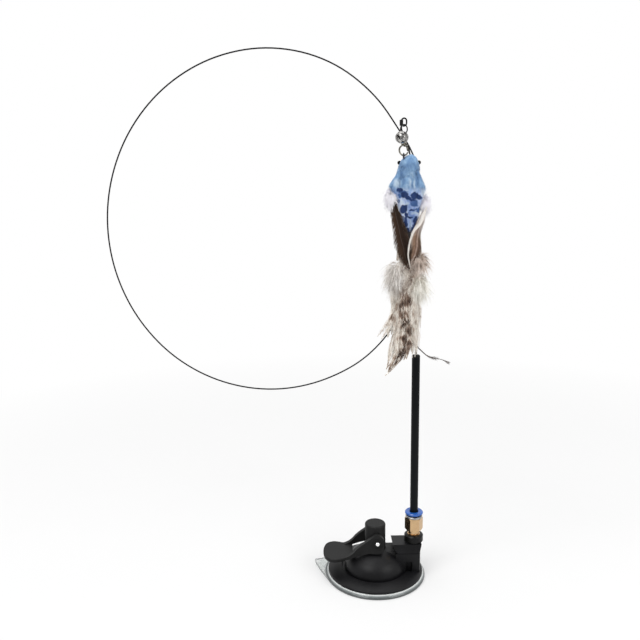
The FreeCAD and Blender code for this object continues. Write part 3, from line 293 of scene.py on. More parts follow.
# Darker places among the hackles: (x, z, reach, darkness)
BROWN_SPOTS = [
    (24.5, 249.0, 5.0, 0.44), (28.0, 246.0, 4.2, 0.42), (22.5, 242.0, 3.0, 0.52),
    (17.6, 243.0, 1.8, 0.50), (21.0, 236.0, 1.6, 0.42), (12.4, 233.0, 2.4, 0.32),
    (19.0, 230.0, 2.2, 0.36), (15.4, 226.0, 2.4, 0.40), (17.6, 221.0, 2.6, 0.60),
    (20.4, 219.6, 2.2, 0.50), (15.6, 216.6, 2.4, 0.62), (19.0, 215.0, 2.6, 0.58),
    (11.6, 214.6, 1.2, 0.30), (15.8, 212.0, 2.2, 0.74), (23.4, 212.0, 1.6, 0.84),
    (9.6, 209.0, 1.8, 0.56), (16.8, 206.6, 2.8, 0.84), (28.0, 208.6, 1.2, 0.36),
    (15.6, 203.0, 1.6, 0.60), (20.6, 200.6, 2.0, 0.80), (20.4, 197.4, 1.8, 0.82),
    (8.4, 194.6, 1.1, 0.62), (17.0, 193.8, 2.5, 0.80), (20.0, 190.0, 2.4, 0.68),
    (23.2, 189.6, 1.0, 0.56), (16.2, 185.6, 2.4, 0.72), (15.0, 181.6, 2.4, 0.84),
    (12.0, 177.6, 2.2, 0.66), (7.6, 173.6, 1.9, 0.66),
]


# Numbers and meshes


def parts_of(count):
    """Evenly spaced parts from 0 to 1."""
    return [step / count for step in range(count + 1)]


def round_angles(count):
    """Even angles round a circle."""
    return [2 * math.pi * step / count for step in range(count)]


def level_way(angle, rise=0.0):
    """Direction at an angle round the upright, which may rise a little."""
    return Vector((math.cos(angle), math.sin(angle), rise))


def random_vector(rng):
    """Vector with a chance length in every direction."""
    return Vector((rng.gauss(0, 1), rng.gauss(0, 1), rng.gauss(0, 1)))


def hermite(before, start, end, after, part):
    """Value on the smooth curve between start and end."""
    start_slope = (end - before) / 2
    end_slope = (after - start) / 2
    square = part * part
    cube = square * part
    return (
        (2 * cube - 3 * square + 1) * start
        + (cube - 2 * square + part) * start_slope
        + (3 * square - 2 * cube) * end
        + (cube - square) * end_slope
    )


def curve_through(stations, count):
    """Evenly numbered samples of a smooth line through tuples of any length."""
    samples = []
    last = len(stations) - 1
    for part in parts_of(count):
        place = part * last
        index = min(int(place), last - 1)
        before = stations[max(index - 1, 0)]
        start = stations[index]
        end = stations[index + 1]
        after = stations[min(index + 2, last)]
        samples.append([hermite(*four, place - index) for four in zip(before, start, end, after)])
    return samples


def in_scene(name, data):
    """New object in the scene."""
    obj = bpy.data.objects.new(name, data)
    bpy.context.scene.collection.objects.link(obj)
    return obj


def new_mesh(name, vertices, faces, smooth=True):
    """Object from millimetre vertices."""
    mesh = bpy.data.meshes.new(name)
    mesh.from_pydata([Vector(vertex) * MM for vertex in vertices], [], faces)
    mesh.update()
    if smooth:
        mesh.shade_smooth()
    return in_scene(name, mesh)


def ring_faces(rings, around, downwards=False):
    """Faces through rings of vertices and over both ends. Rings that go downwards are turned."""
    faces = []
    for ring in range(rings - 1):
        for step in range(around):
            here = ring * around + step
            beside = ring * around + (step + 1) % around
            face = (here, beside, beside + around, here + around)
            faces.append((face[0], *reversed(face[1:])) if downwards else face)
    first = tuple(range(around))
    last = tuple(range((rings - 1) * around, rings * around))
    faces += [first, last[::-1]] if downwards else [first[::-1], last]
    return faces


def tube(path, radii, sides):
    """Vertices and faces of a tube along points, with capped ends."""
    vertices = []
    side = (path[1] - path[0]).normalized().orthogonal().normalized()
    for index, (point, radius) in enumerate(zip(path, radii)):
        ahead = path[min(index + 1, len(path) - 1)]
        behind = path[max(index - 1, 0)]
        way = (ahead - behind).normalized()
        side = (side - way * side.dot(way)).normalized()
        other = way.cross(side)
        for angle in round_angles(sides):
            vertices.append(point + (side * math.cos(angle) + other * math.sin(angle)) * radius)
    return vertices, ring_faces(len(path), sides)


def join_parts(name, parts):
    """One object from several (vertices, faces) parts."""
    vertices = []
    faces = []
    for part_vertices, part_faces in parts:
        shift = len(vertices)
        vertices += part_vertices
        faces += [tuple(corner + shift for corner in face) for face in part_faces]
    return new_mesh(name, vertices, faces)


class Ribbons:
    """Collects thin ribbons into one mesh. Each point has a code of four parts: how far along it
    is, how far across, a chance number and a shade."""

    def __init__(self):
        self.vertices = []
        self.faces = []
        self.codes = []

    def add(self, points, side, widths, codes):
        """One ribbon along points, flat in the direction of side."""
        first = len(self.vertices)
        for point, width, code in zip(points, widths, codes):
            half = side * (width / 2)
            self.vertices += [point - half, point + half]
            self.codes += [code, code]
        for step in range(len(points) - 1):
            corner = first + 2 * step
            self.faces.append((corner, corner + 1, corner + 3, corner + 2))

    def build(self, name):
        """The mesh object, with its codes in the colour attribute named place."""
        obj = new_mesh(name, self.vertices, self.faces)
        layer = obj.data.color_attributes.new("place", "FLOAT_COLOR", "POINT")
        for item, code in zip(layer.data, self.codes):
            item.color = code
        return obj


def put_on(obj, material, slot, nodes=()):
    """Give a piece of the toy its material and body, and hide the solids that it stands for. Its slot is
    not used.
    """
    obj.data.materials.append(material)
    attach(obj, TOY)
    if nodes:
        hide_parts(*nodes)


# Node trees


def opaque(colour):
    """A colour with full cover. An output stays as it is."""
    return colour if isinstance(colour, bpy.types.NodeSocket) else (*colour, 1.0)


class Tree:
    """A node tree with short ways to add nodes. A value is a number, a tuple or an output."""

    def __init__(self, tree):
        self.tree = tree

    def feed(self, socket, value):
        """Put a value on an input, or join an output to it."""
        if isinstance(value, bpy.types.NodeSocket):
            self.tree.links.new(value, socket)
        else:
            socket.default_value = value

    def feed_all(self, node, values):
        """Values for a node's inputs by name, with _ for spaces."""
        for name, value in values.items():
            self.feed(node.inputs[name.replace("_", " ")], value)

    def add(self, kind, **values):
        """New node with values on its inputs."""
        node = self.tree.nodes.new(kind)
        self.feed_all(node, values)
        return node

    def sum(self, kind, operation, values):
        """Outputs of a node that works something out."""
        node = self.add(kind)
        node.operation = operation
        for socket, value in zip(node.inputs, values):
            self.feed(socket, value)
        return node.outputs

    def math(self, operation, *values):
        """Sum on numbers."""
        return self.sum("ShaderNodeMath", operation, values)["Value"]

    def vector(self, operation, *values):
        """Sum on vectors."""
        return self.sum("ShaderNodeVectorMath", operation, values)["Vector"]

    def length(self, vector):
        """Length of a vector."""
        return self.sum("ShaderNodeVectorMath", "LENGTH", [vector])["Value"]

    def axis(self, vector, name):
        """One coordinate of a vector."""
        return self.add("ShaderNodeSeparateXYZ", Vector=vector).outputs[name]

    def map_range(self, value, ends, results=(0.0, 1.0)):
        """Value carried from one range to another, held at its ends."""
        return self.add("ShaderNodeMapRange", Value=value, From_Min=ends[0], From_Max=ends[1],
                        To_Min=results[0], To_Max=results[1]).outputs["Result"]

    def place(self, kind="Object"):
        """Coordinates in metres, fixed to the object unless another kind is named."""
        return self.add("ShaderNodeTexCoord").outputs[kind]

    def noise(self, scale, detail=3.0, roughness=0.5):
        """Noise fixed to the object, stretched where the scale has three parts."""
        where = self.place()
        if isinstance(scale, tuple):
            where = self.add("ShaderNodeMapping", Vector=where, Scale=scale).outputs["Vector"]
            scale = 1.0
        return self.add("ShaderNodeTexNoise", Vector=where, Scale=scale, Detail=detail,
                        Roughness=roughness).outputs["Fac"]

    def ramp(self, value, stops):
        """Colour from a value through (position, colour) stops."""
        node = self.add("ShaderNodeValToRGB", Fac=value)
        elements = node.color_ramp.elements
        while len(elements) < len(stops):
            elements.new(0.5)
        for element, (position, colour) in zip(elements, stops):
            element.position = position
            element.color = opaque(colour)
        return node.outputs["Color"]

    def mix(self, factor, first, second, blend="MIX"):
        """Mix of two colours. Its colour sockets share their names, so they go by number."""
        node = self.add("ShaderNodeMix")
        node.data_type = "RGBA"
        node.blend_type = blend
        for number, value in ((0, factor), (6, opaque(first)), (7, opaque(second))):
            self.feed(node.inputs[number], value)
        return node.outputs[2]

    def seen_directly(self):
        """1 for rays from the eye, a mirror or through glass, and 0 for the others."""
        rays = self.add("ShaderNodeLightPath").outputs
        eye_or_mirror = self.math("MAXIMUM", rays["Is Camera Ray"], rays["Is Glossy Ray"])
        return self.math("MAXIMUM", eye_or_mirror, rays["Is Transmission Ray"])


class Surface(Tree):
    """A material with short ways to set its shader."""

    def __init__(self, name):
        self.material = bpy.data.materials.new(name)
        self.material.use_nodes = True
        super().__init__(self.material.node_tree)
        self.shader = self.tree.nodes["Principled BSDF"]

    def set(self, **values):
        """Values for the shader's own inputs."""
        self.feed_all(self.shader, values)

    def rough(self, value, low, high):
        """Roughness that varies with a value between two limits."""
        self.set(Roughness=self.map_range(value, (0.0, 1.0), (low, high)))

    def bump(self, height, distance):
        """Relief from a height value, distance in millimetres."""
        node = self.add("ShaderNodeBump", Height=height, Strength=1.0, Distance=distance * MM)
        self.set(Normal=node.outputs["Normal"])

    def code(self):
        """The four parts of a ribbon's code: along, across, chance and shade."""
        source = self.add("ShaderNodeAttribute")
        source.attribute_name = "place"
        split = self.add("ShaderNodeSeparateColor", Color=source.outputs["Color"])
        return (*split.outputs, source.outputs["Alpha"])

    def inside(self, patches, fineness, wander):
        """Value that is 0 in the middle of any patch (x, z, half x, half z) and grows outwards."""
        drift = self.add("ShaderNodeTexNoise", Vector=self.place(), Scale=fineness, Detail=2.0)
        reach = wander * MM
        moved = self.vector("MULTIPLY_ADD", drift.outputs["Color"], (reach,) * 3, self.place())
        nearest = None
        for x, z, half_x, half_z in patches:
            middle = (x * MM + reach / 2, 0.0, z * MM + reach / 2)
            shifted = self.vector("SUBTRACT", moved, middle)
            scale = (1 / (half_x * MM), 0.0, 1 / (half_z * MM))
            away = self.length(self.vector("MULTIPLY", shifted, scale))
            nearest = away if nearest is None else self.math("MINIMUM", nearest, away)
        return nearest


# Materials


def darker(colour, share):
    """A colour brought down to a share of itself."""
    return tuple(part * share for part in colour)


def mottled(name, clouds, stops, rough, grain, **values):
    """Surface whose colour and roughness follow clouds of noise, with a grain (scale, height)."""
    mat = Surface(name)
    cloud = mat.noise(*clouds)
    mat.set(Base_Color=mat.ramp(cloud, stops), **values)
    mat.rough(cloud, *rough)
    mat.bump(mat.noise(grain[0], 2.0), grain[1])
    return mat.material


def moulded_plastic(name, dark, light, rough, grain, specular):
    """Moulded plastic with faint patches."""
    stops = [(0.3, dark), (0.75, light)]
    return mottled(name, (90.0, 4.0), stops, (rough - 0.06, rough + 0.08), (2600.0, grain),
                   Specular_IOR_Level=specular)


def painted_reflection_metal(name, dark, light, rough, scale):
    """Small plated parts whose colour is mottled dark and light as painted reflections, with uneven
    polish.
    """
    # Painted reflections: the near-black patches stand in for dark surroundings mirrored in the metal
    stops = [(0.38, dark), (0.62, light)]
    return mottled(name, (scale, 3.0, 0.6), stops, (rough, rough + 0.18), (2400.0, 0.006), Metallic=1.0)


def smooth_colour(name, colour, rough, coat=0.0):
    """Glossy coloured plastic or horn with slight variation."""
    stops = [(0.3, darker(colour, 0.82)), (0.7, colour)]
    return mottled(name, (160.0,), stops, (rough - 0.03, rough + 0.06), (1400.0, 0.006), Coat_Weight=coat)


def turned_metal(name, colour, rough):
    """Metal with turning lines round the upright and slightly uneven polish."""
    mat = Surface(name)
    lines = mat.noise((40.0, 40.0, 5200.0), 2.0)
    clouds = mat.noise(260.0)
    mat.set(Base_Color=mat.ramp(clouds, [(0.3, darker(colour, 0.88)), (0.7, colour)]), Metallic=1.0)
    mat.rough(lines, rough - 0.06, rough + 0.1)
    mat.bump(lines, 0.004)
    return mat.material


def pad_rubber():
    """Clear grey rubber of the pad, with painted shade that darkens its rim towards the floor; clear at
    the cover's edge and in the tab.
    """
    mat = Surface("pad_rubber")
    clouds = mat.noise(70.0)
    clear = mat.ramp(clouds, [(0.3, (0.86, 0.89, 0.88)), (0.8, (0.95, 0.97, 0.96))])
    height = mat.map_range(mat.axis(mat.place(), "Z"), (0.0, PAD_THICK * MM))
    # Painted shade: near black at the floor, clearing upwards, for the cover's shadow and dark underside
    # seen through the rubber
    rim = mat.ramp(height, [
        (0.10, (0.07, 0.08, 0.08)), (0.50, (0.12, 0.135, 0.135)), (0.70, (0.34, 0.37, 0.37)),
        (0.80, (0.86, 0.89, 0.88)),
    ])
    reach = mat.length(mat.vector("MULTIPLY", mat.place(), (1.0, 1.0, 0.0)))
    tab = (TAB_START * MM, TAB_FULL * MM)
    mat.set(
        Base_Color=mat.mix(mat.map_range(reach, tab), rim, clear),
        Transmission_Weight=mat.map_range(reach, tab, (0.42, 0.85)),
        IOR=1.42,
    )
    mat.rough(clouds, 0.10, 0.22)
    mat.bump(mat.noise(900.0, 2.0), 0.008)
    return mat.material


def bird_cloth():
    """Steel-blue plush with soft pale streaks above and printed patches below."""
    mat = Surface("bird_cloth")
    plain = mat.ramp(mat.noise((300.0, 300.0, 140.0), 5.0, 0.68), [
        (0.28, (0.085, 0.175, 0.33)), (0.42, (0.150, 0.275, 0.48)), (0.56, (0.240, 0.395, 0.60)),
        (0.74, (0.50, 0.66, 0.80)),
    ])
    printed = mat.ramp(mat.noise((230.0, 230.0, 110.0), 3.0, 0.55), [
        (0.34, (0.20, 0.31, 0.62)), (0.50, (0.42, 0.54, 0.80)), (0.66, (0.70, 0.77, 0.90)),
    ])
    low = mat.map_range(mat.axis(mat.place(), "Z"), (PRINT_START * MM, PRINT_FULL * MM))
    colour = mat.mix(low, plain, printed)
    for patches, scale, wander, (full, none), strength, ink in PRINTS:
        mask = mat.ramp(mat.inside(patches, scale, wander), [(full, (strength,) * 3), (none, BLACK)])
        colour = mat.mix(mask, colour, ink)
    mat.set(Base_Color=colour, Roughness=0.85, Sheen_Weight=0.2, Specular_IOR_Level=0.2)
    mat.bump(mat.noise(700.0), 0.12)
    return mat.material


def down_material(name, dark, light, clumps=0.0):
    """Soft down, paler at the ends of its strands, with clumps of darker strands."""
    mat = Surface(name)
    along, _, chance, _ = mat.code()
    tint = mat.math("MULTIPLY_ADD", chance, 0.5, mat.math("MULTIPLY", along, 0.5))
    patches = mat.noise((260.0, 260.0, 130.0), 3.0, 0.6)
    spread = mat.math("MULTIPLY_ADD", patches, 2.0 * clumps, -clumps)
    colour = mat.ramp(mat.math("ADD", tint, spread), [(0.1, dark), (0.7, light)])
    mat.set(Base_Color=colour, Roughness=0.9, Sheen_Weight=0.3, Specular_IOR_Level=0.15)
    return mat.material


def vane_material(name, across_stops, dusk, pale_root=None, dark_tip=None):
    """Smooth feather whose colour runs across the vane, with darker streaks along the barbs."""
    mat = Surface(name)
    along, across, chance, _ = mat.code()
    base = mat.ramp(across, across_stops)
    if dark_tip:
        inner = mat.ramp(across, [(0.55, BLACK), (0.70, WHITE)])
        late = mat.ramp(along, [(0.52, BLACK), (0.68, WHITE)])
        base = mat.mix(mat.math("MULTIPLY", inner, late), base, dark_tip)
    if pale_root:
        base = mat.mix(mat.ramp(along, [(0.16, (0.9,) * 3), (0.46, BLACK)]), base, pale_root)
    fleck = mat.noise((260.0, 260.0, 60.0), 4.0)
    streaks = mat.math("MULTIPLY_ADD", chance, 0.45, mat.math("MULTIPLY", fleck, 0.6))
    shade = mat.ramp(streaks, [(0.3, (1.0 - dusk,) * 3), (0.8, WHITE)])
    mat.set(Base_Color=mat.mix(1.0, base, shade, "MULTIPLY"), Specular_IOR_Level=0.12)
    mat.rough(along, 0.55, 0.7)
    return mat.material


def brown_vane():
    """Dark brown feather, browner at its edges."""
    return vane_material("brown_vane", [
        (0.0, (0.145, 0.092, 0.068)), (0.06, (0.050, 0.030, 0.020)), (0.35, (0.022, 0.012, 0.008)),
        (0.62, (0.050, 0.028, 0.017)), (0.86, (0.085, 0.052, 0.036)), (1.0, (0.135, 0.092, 0.072)),
    ], 0.35)


def tan_vane():
    """Tan feather with a pale streak and root, whose inner side is dark near the tip."""
    return vane_material("tan_vane", [
        (0.0, (0.25, 0.18, 0.14)), (0.08, (0.125, 0.080, 0.056)), (0.32, (0.165, 0.105, 0.076)),
        (0.40, (0.46, 0.33, 0.27)), (0.47, (0.27, 0.165, 0.115)), (0.66, (0.36, 0.23, 0.16)),
        (0.80, (0.56, 0.46, 0.39)), (1.0, (0.80, 0.74, 0.68)),
    ], 0.3, (0.78, 0.70, 0.65), (0.028, 0.016, 0.010))


def hackle_material():
    """Mottled hackle that goes from cream to dark brown."""
    mat = Surface("hackle_feather")
    _, _, chance, shade = mat.code()
    blot = mat.noise((620.0, 620.0, 240.0), 3.0, 0.6)
    wander = mat.math("MULTIPLY_ADD", chance, 0.2, mat.math("ADD", blot, -0.5))
    colour = mat.ramp(mat.math("ADD", shade, wander), [
        (0.02, (0.92, 0.87, 0.79)), (0.22, (0.70, 0.62, 0.54)), (0.42, (0.38, 0.285, 0.225)),
        (0.64, (0.165, 0.105, 0.078)), (0.92, (0.050, 0.032, 0.024)),
    ])
    mat.set(Base_Color=colour, Roughness=0.8, Sheen_Weight=0.15, Specular_IOR_Level=0.15)
    return mat.material


def thread_material(name, colour):
    """Twisted thread or felt."""
    mat = Surface(name)
    twist = mat.noise(1500.0, 2.0)
    shades = mat.ramp(twist, [(0.35, darker(colour, 0.55)), (0.7, colour)])
    mat.set(Base_Color=shades, Roughness=0.8, Sheen_Weight=0.2)
    mat.bump(twist, 0.05)
    return mat.material


# Camera, light and floor


def make_camera():
    """Camera where the photographer stood."""
    data = bpy.data.cameras.new("photo_camera")
    data.lens = CAMERA_LENS
    data.sensor_width = CAMERA_SENSOR
    data.clip_start = 0.01
    data.clip_end = 50.0
    obj = in_scene("photo_camera", data)
    pitch = Matrix.Rotation(math.pi / 2 - CAMERA_PITCH, 4, "X")
    roll = Matrix.Rotation(CAMERA_ROLL, 4, "Z")
    obj.matrix_world = Matrix.Translation(Vector(CAMERA_AT) * MM) @ pitch @ roll
    bpy.context.scene.camera = obj


def make_world():
    """White surroundings that light softly, with a darker room on the viewer's side in mirrors."""
    world = bpy.data.worlds.new("studio")
    bpy.context.scene.world = world
    world.use_nodes = True
    tree = Tree(world.node_tree)
    level = tree.map_range(tree.seen_directly(), (0.0, 1.0), (WORLD_LEVEL, 1.0))
    room = tree.map_range(tree.axis(tree.place("Generated"), "Y"), (-0.55, 0.25), (MIRROR_DUSK, 1.0))
    mirrored = tree.add("ShaderNodeLightPath").outputs["Is Glossy Ray"]
    strength = tree.add("ShaderNodeMix", Factor=mirrored, A=level, B=room).outputs["Result"]
    tree.feed_all(world.node_tree.nodes["Background"], {"Color": opaque(WHITE), "Strength": strength})


def make_floor():
    """Wide white floor that keeps the object's shadow and turns into backdrop far away."""
    corners = [(x * FLOOR_HALF, y * FLOOR_HALF, 0.0) for x, y in ((-1, -1), (1, -1), (1, 1), (-1, 1))]
    floor = new_mesh("studio_floor", corners, [(0, 1, 2, 3)], smooth=False)
    mat = Surface("studio_floor")
    far = mat.map_range(mat.length(mat.place()), FLOOR_FADE)
    low, high = FLOOR_GREYS
    near = mat.ramp(mat.noise(4.0), [(0.0, (low,) * 3), (1.0, (high,) * 3)])
    glow = mat.math("MULTIPLY_ADD", far, 1.0 - FLOOR_GLOW, FLOOR_GLOW)
    mat.set(
        Base_Color=mat.mix(far, near, BLACK),
        Roughness=1.0,
        Specular_IOR_Level=0.0,
        Emission_Color=opaque(WHITE),
        Emission_Strength=mat.math("MULTIPLY", mat.seen_directly(), glow),
    )
    floor.data.materials.append(mat.material)


def make_lights():
    """Large square soft boxes above and in front."""
    for name, at, target, size, power in SOFT_BOXES:
        data = bpy.data.lights.new(name, "AREA")
        data.shape = "SQUARE"
        data.size = size
        data.energy = power
        obj = in_scene(name, data)
        obj.location = at
        obj.rotation_euler = (Vector(target) - Vector(at)).to_track_quat("-Z", "Y").to_euler()


# Soft forms


def soft_form(name, sections, y, rings, around, lumps, seed=0.0):
    """Closed plush form through level ovals (x, z, half x, half y) from the top down."""
    vertices = []
    for x, z, half_x, half_y in curve_through(sections, rings):
        for angle in round_angles(around):
            out = level_way(angle)
            point = Vector((x + out.x * max(half_x, 0.3), y + out.y * max(half_y, 0.3), z))
            bulge = noise.noise(point * 0.28 + Vector((seed, 0, 0))) * lumps
            vertices.append(point + out * bulge)
    return new_mesh(name, vertices, ring_faces(rings + 1, around, downwards=True))


def pile(sections, y, rng, count, length):
    """Short strands that stand on a soft form and lean down along it."""
    ribbons = Ribbons()
    samples = curve_through(sections, PILE_SAMPLES)
    weights = [max(sample[2], 0.2) for sample in samples]
    widths = [PILE_WIDTH * share for share in (1.0, 0.8, 0.55, 0.15)]
    parts = parts_of(len(widths) - 1)
    for _ in range(count):
        x, z, half_x, half_y = rng.choices(samples, weights)[0]
        out = level_way(rng.uniform(0, 2 * math.pi), rng.uniform(-0.2, 0.2))
        root = Vector((x + out.x * half_x * 0.98, y + out.y * half_y * 0.98, z + rng.uniform(-0.3, 0.3)))
        sway = Vector((rng.gauss(0, 0.3), rng.gauss(0, 0.3), 0)) * PILE_SWAY
        reach = length * rng.uniform(0.6, 1.25)
        points = []
        for part in parts:
            fall = UP * (-PILE_LEAN * part * (0.5 + part * 0.5))
            points.append(root + (out * (1 - PILE_LEAN * 0.5) * part + fall + sway * part * part) * reach)
        chance = rng.random()
        codes = [(part, 0.5, chance, 1.0) for part in parts]
        ribbons.add(points, out.cross(UP).normalized(), widths, codes)
    return ribbons


def tuft(centre, size, count, lean, seed, length, width, droop, curl):
    """Loose strands of down that spread from a core and droop."""
    rng = random.Random(seed)
    ribbons = Ribbons()
    parts = parts_of(6)
    widths = [width * (1 - 0.8 * part) for part in parts]
    for _ in range(count):
        way = random_vector(rng).normalized()
        inside = Vector([part * half for part, half in zip(way, size)])
        root = Vector(centre) + inside * rng.uniform(0.3, 1.0)
        reach = length * rng.uniform(0.45, 1.2)
        heading = (way + Vector(lean)).normalized()
        bend = random_vector(rng) * curl
        points = []
        for part in parts:
            fall = UP * -droop * part * part
            points.append(root + (heading * part + bend * part * part * 0.4 + fall) * reach)
        side = heading.cross(FRONT + Vector((0.01, 0, 0.3))).normalized()
        chance = rng.random()
        codes = [(part, 0.5, chance, 1.0) for part in parts]
        ribbons.add(points, side, widths, codes)
    return ribbons


# Feathers

BARB_PARTS = parts_of(5)


class Look:
    """How a feather's barbs lie: their sweep towards the tip, their width, the vane's bend (cup)
    and uneven parting (split), its twist in degrees, and the share from its root that is fluffy."""

    def __init__(self, sweep, width, cup, split, twist=0.0, fluff=0.0):
        self.sweep = sweep
        self.width = width
        self.cup = cup
        self.split = split
        self.twist = twist
        self.fluff = fluff


def vane(ribbons, stations, look, rng, barbs, shade=None):
    """Barbs on both sides of a feather's shaft."""
    samples = curve_through(stations, VANE_SAMPLES)
    shift = rng.uniform(0, 50)
    facing = Matrix.Rotation(math.radians(look.twist), 3, "Z") @ FRONT
    for index in range(barbs):
        part = (index + 0.5) / barbs
        place = int(part * (VANE_SAMPLES - 1))
        root = Vector(samples[place][:3])
        wide = samples[place][3]
        way = (Vector(samples[place + 1][:3]) - root).normalized()
        across = way.cross(facing).normalized()
        for sign in (-1, 1):
            axes = (root, way, across * sign, across.cross(way))
            parting = noise.noise(Vector((part * 26 + shift, sign * 7.0, 0))) * look.split
            points, widths = barb(axes, part, wide, parting, look, rng)
            chance = rng.random()
            codes = [
                (part, 0.5 + sign * u * 0.5, chance, shade(point, part, u) if shade else 1.0)
                for point, u in zip(points, BARB_PARTS)
            ]
            ribbons.add(points, way, widths, codes)


def barb(axes, part, wide, parting, look, rng):
    """Points and widths of one barb, swept towards the tip and looser where fluffy."""
    root, way, out, face = axes
    fluffy = max(0.0, 1.0 - part / look.fluff) if look.fluff else 0.0
    half = max(wide, 0.6) / 2 * (1 + rng.uniform(-0.08, 0.08)) * (1 + 0.35 * fluffy * rng.random())
    along = half * look.sweep * (1 + parting + fluffy * rng.uniform(-0.5, 0.3))
    loose = random_vector(rng) * (0.35 * fluffy * half)
    lift = rng.uniform(-0.15, 0.15) + fluffy * rng.gauss(0, 0.8)
    points = []
    widths = []
    for u in BARB_PARTS:
        push = face * (look.cup * u * u * -0.5 + lift * u)
        points.append(root + out * (half * u ** 0.85) + way * (along * u ** 1.25) + push + loose * u * u)
        widths.append(look.width * (1 - 0.6 * fluffy) * (1 - 0.72 * u))
    return points, widths


def shaft(stations, radius):
    """Tapering quill along a feather."""
    path = [Vector(sample[:3]) for sample in curve_through(stations, SHAFT_SAMPLES)]
    radii = [radius * (1 - 0.85 * part) for part in parts_of(SHAFT_SAMPLES)]
    return tube(path, radii, sides=6)


class Feathers:
    """Barbs and shafts of a group of feathers."""

    def __init__(self):
        self.barbs = Ribbons()
        self.shafts = []

    def add(self, stations, look, rng, barbs, radius, shade=None):
        """One feather with its count of barbs and the radius of its shaft."""
        vane(self.barbs, stations, look, rng, barbs, shade)
        self.shafts.append(shaft(stations, radius))

    def build(self, barb_name, shaft_name, material, quill, slot, nodes=()):
        """The two pieces of the group."""
        put_on(self.barbs.build(barb_name), material, slot, nodes=nodes)
        put_on(join_parts(shaft_name, self.shafts), quill, slot)


def skirt_at(height):
    """Middle line and half width of the skirt at a height."""
    for (x, z, half), (next_x, next_z, next_half) in zip(SKIRT, SKIRT[1:]):
        if height >= next_z:
            part = (z - height) / (z - next_z)
            return x + (next_x - x) * part, half + (next_half - half) * part
    return SKIRT[-1][0], SKIRT[-1][2]


def darkness(x, z):
    """How brown the hackles are at a place, from the spots near it."""
    light = 1.0
    for spot_x, spot_z, reach, depth in BROWN_SPOTS:
        away = ((x - spot_x) ** 2 + ((z - spot_z) * 0.75) ** 2) / (reach * reach)
        light *= 1 - depth * math.exp(-away)
    return 1 - light


def hackle_shade(tone, seed):
    """Shade of one hackle: cream at its edge, with brown bars that crowd in the brown places."""
    def shade(point, part, u):
        local = darkness(point.x, point.z)
        bars = noise.noise(Vector((part * 9.0 + seed, u * 1.6, seed * 0.37)))
        middle = (1 - u) ** 1.5 * (0.10 + 0.25 * local)
        side = min(1.0, abs(point.x - SKIRT_MIDDLE) / SKIRT_REACH) ** 2
        return min(1.0, max(0.0, tone - 0.28 * side + local * 0.62 + bars * (0.42 + 0.9 * local) + middle))
    return shade


def around_skirt(angle, reach, depth, z, middle):
    """Point beside the skirt's middle line, out by a reach sideways and a depth front to back."""
    return Vector((middle + reach * math.cos(angle), BIRD_Y + depth * math.sin(angle), z))


def hackle_stations(angle, out, top, bottom, width):
    """Run of one hackle from the binding outwards and down to its tip."""
    middle, half = skirt_at(bottom + 3.0)
    reach = max(half - width * 0.3, 1.0) * out
    tip = around_skirt(angle, reach, SKIRT_DEPTH * out * 0.9, bottom, middle)
    middle, half = skirt_at(top)
    reach = half * 0.45 * out
    root = around_skirt(angle, reach, reach * 0.7, top, middle)
    waist = (top + bottom) / 2
    middle, half = skirt_at(waist)
    reach = max(half - width * 0.35, 1.0) * out
    bend = around_skirt(angle, reach, SKIRT_DEPTH * out, waist, middle)
    stations = []
    for part, share in HACKLE_OUTLINE:
        point = root.lerp(bend, part).lerp(bend.lerp(tip, part), part)
        stations.append((point.x, point.y, point.z, width * share))
    return stations


def hackle_plan(rng):
    """Angle, reach, top, tip height, width, tone and fluff of every hackle of the skirt."""
    plan = []
    for bottom, top, count, width, tone, fluff in TIERS:
        for index in range(count):
            angle = 2 * math.pi * (index + rng.uniform(0.1, 0.9)) / count
            out = rng.uniform(0.35, 1.0)
            low = bottom + rng.uniform(-5.0, 8.0)
            high = top + rng.uniform(-4, 1)
            plan.append((angle, out, high, low, width * rng.uniform(0.75, 1.15), tone, fluff))
    return plan


def hackle_node(angle, low):
    """Name of the solid feather that stands for a hackle at an angle and a height."""
    if math.sin(angle) > 0.55:
        return "hackle_back"
    if math.sin(angle) < -0.6:
        return "hackle_front"
    left = math.cos(angle) < 0
    if low < LOW_TIP:
        return "hackle_lower_left" if left else "hackle_middle"
    return "hackle_upper_left" if left else "hackle_upper_right"


def outward_turn(angle):
    """Turn in degrees of a vane that faces outwards at an angle round the skirt."""
    return math.degrees(math.atan2(math.cos(angle), -math.sin(angle)))


def add_skirt(groups, rng):
    """Many small hackles, fluffy above and pointed below, each in the group of its solid."""
    for angle, out, top, low, width, tone, fluff in hackle_plan(rng):
        feathers = groups.setdefault(hackle_node(angle, low), Feathers())
        stations = hackle_stations(angle, out, top, low, width)
        twist = outward_turn(angle) * 0.6 + rng.uniform(-20, 20)
        look = Look(sweep=1.5, width=0.62, cup=1.2, split=0.4, twist=twist, fluff=fluff)
        shade = hackle_shade(tone + rng.gauss(0.03, 0.09), rng.uniform(0, 90))
        feathers.add(stations, look, rng, barbs=58, radius=0.16, shade=shade)


def add_strands(groups, rng):
    """The narrow feathers that stand apart."""
    look = Look(sweep=1.9, width=0.5, cup=0.6, split=0.5)
    for node, tone, group in STRANDS:
        for stations in group:
            shade = hackle_shade(tone, rng.uniform(0, 90))
            groups[node].add(stations, look, rng, barbs=50, radius=0.14, shade=shade)


def collar_stations(angle, rng):
    """Run of a short feather that covers the binding on the far side."""
    stations = []
    for reach, z, width in COLLAR:
        point = BINDING_AXIS + level_way(angle) * reach
        stations.append((point.x, point.y, z + rng.uniform(-1.0, 1.0), width))
    return stations


def add_collar(groups, rng):
    """Short feathers round the far side of the binding."""
    for degrees in range(-20, 201, 20):
        angle = math.radians(degrees)
        stations = collar_stations(angle, rng)
        look = Look(sweep=1.3, width=0.66, cup=1.2, split=0.3, twist=outward_turn(angle), fluff=0.3)
        shade = hackle_shade(0.24 + rng.gauss(0.0, 0.08), rng.uniform(0, 90))
        groups["hackle_back"].add(stations, look, rng, barbs=70, radius=0.16, shade=shade)


# Pieces of the toy


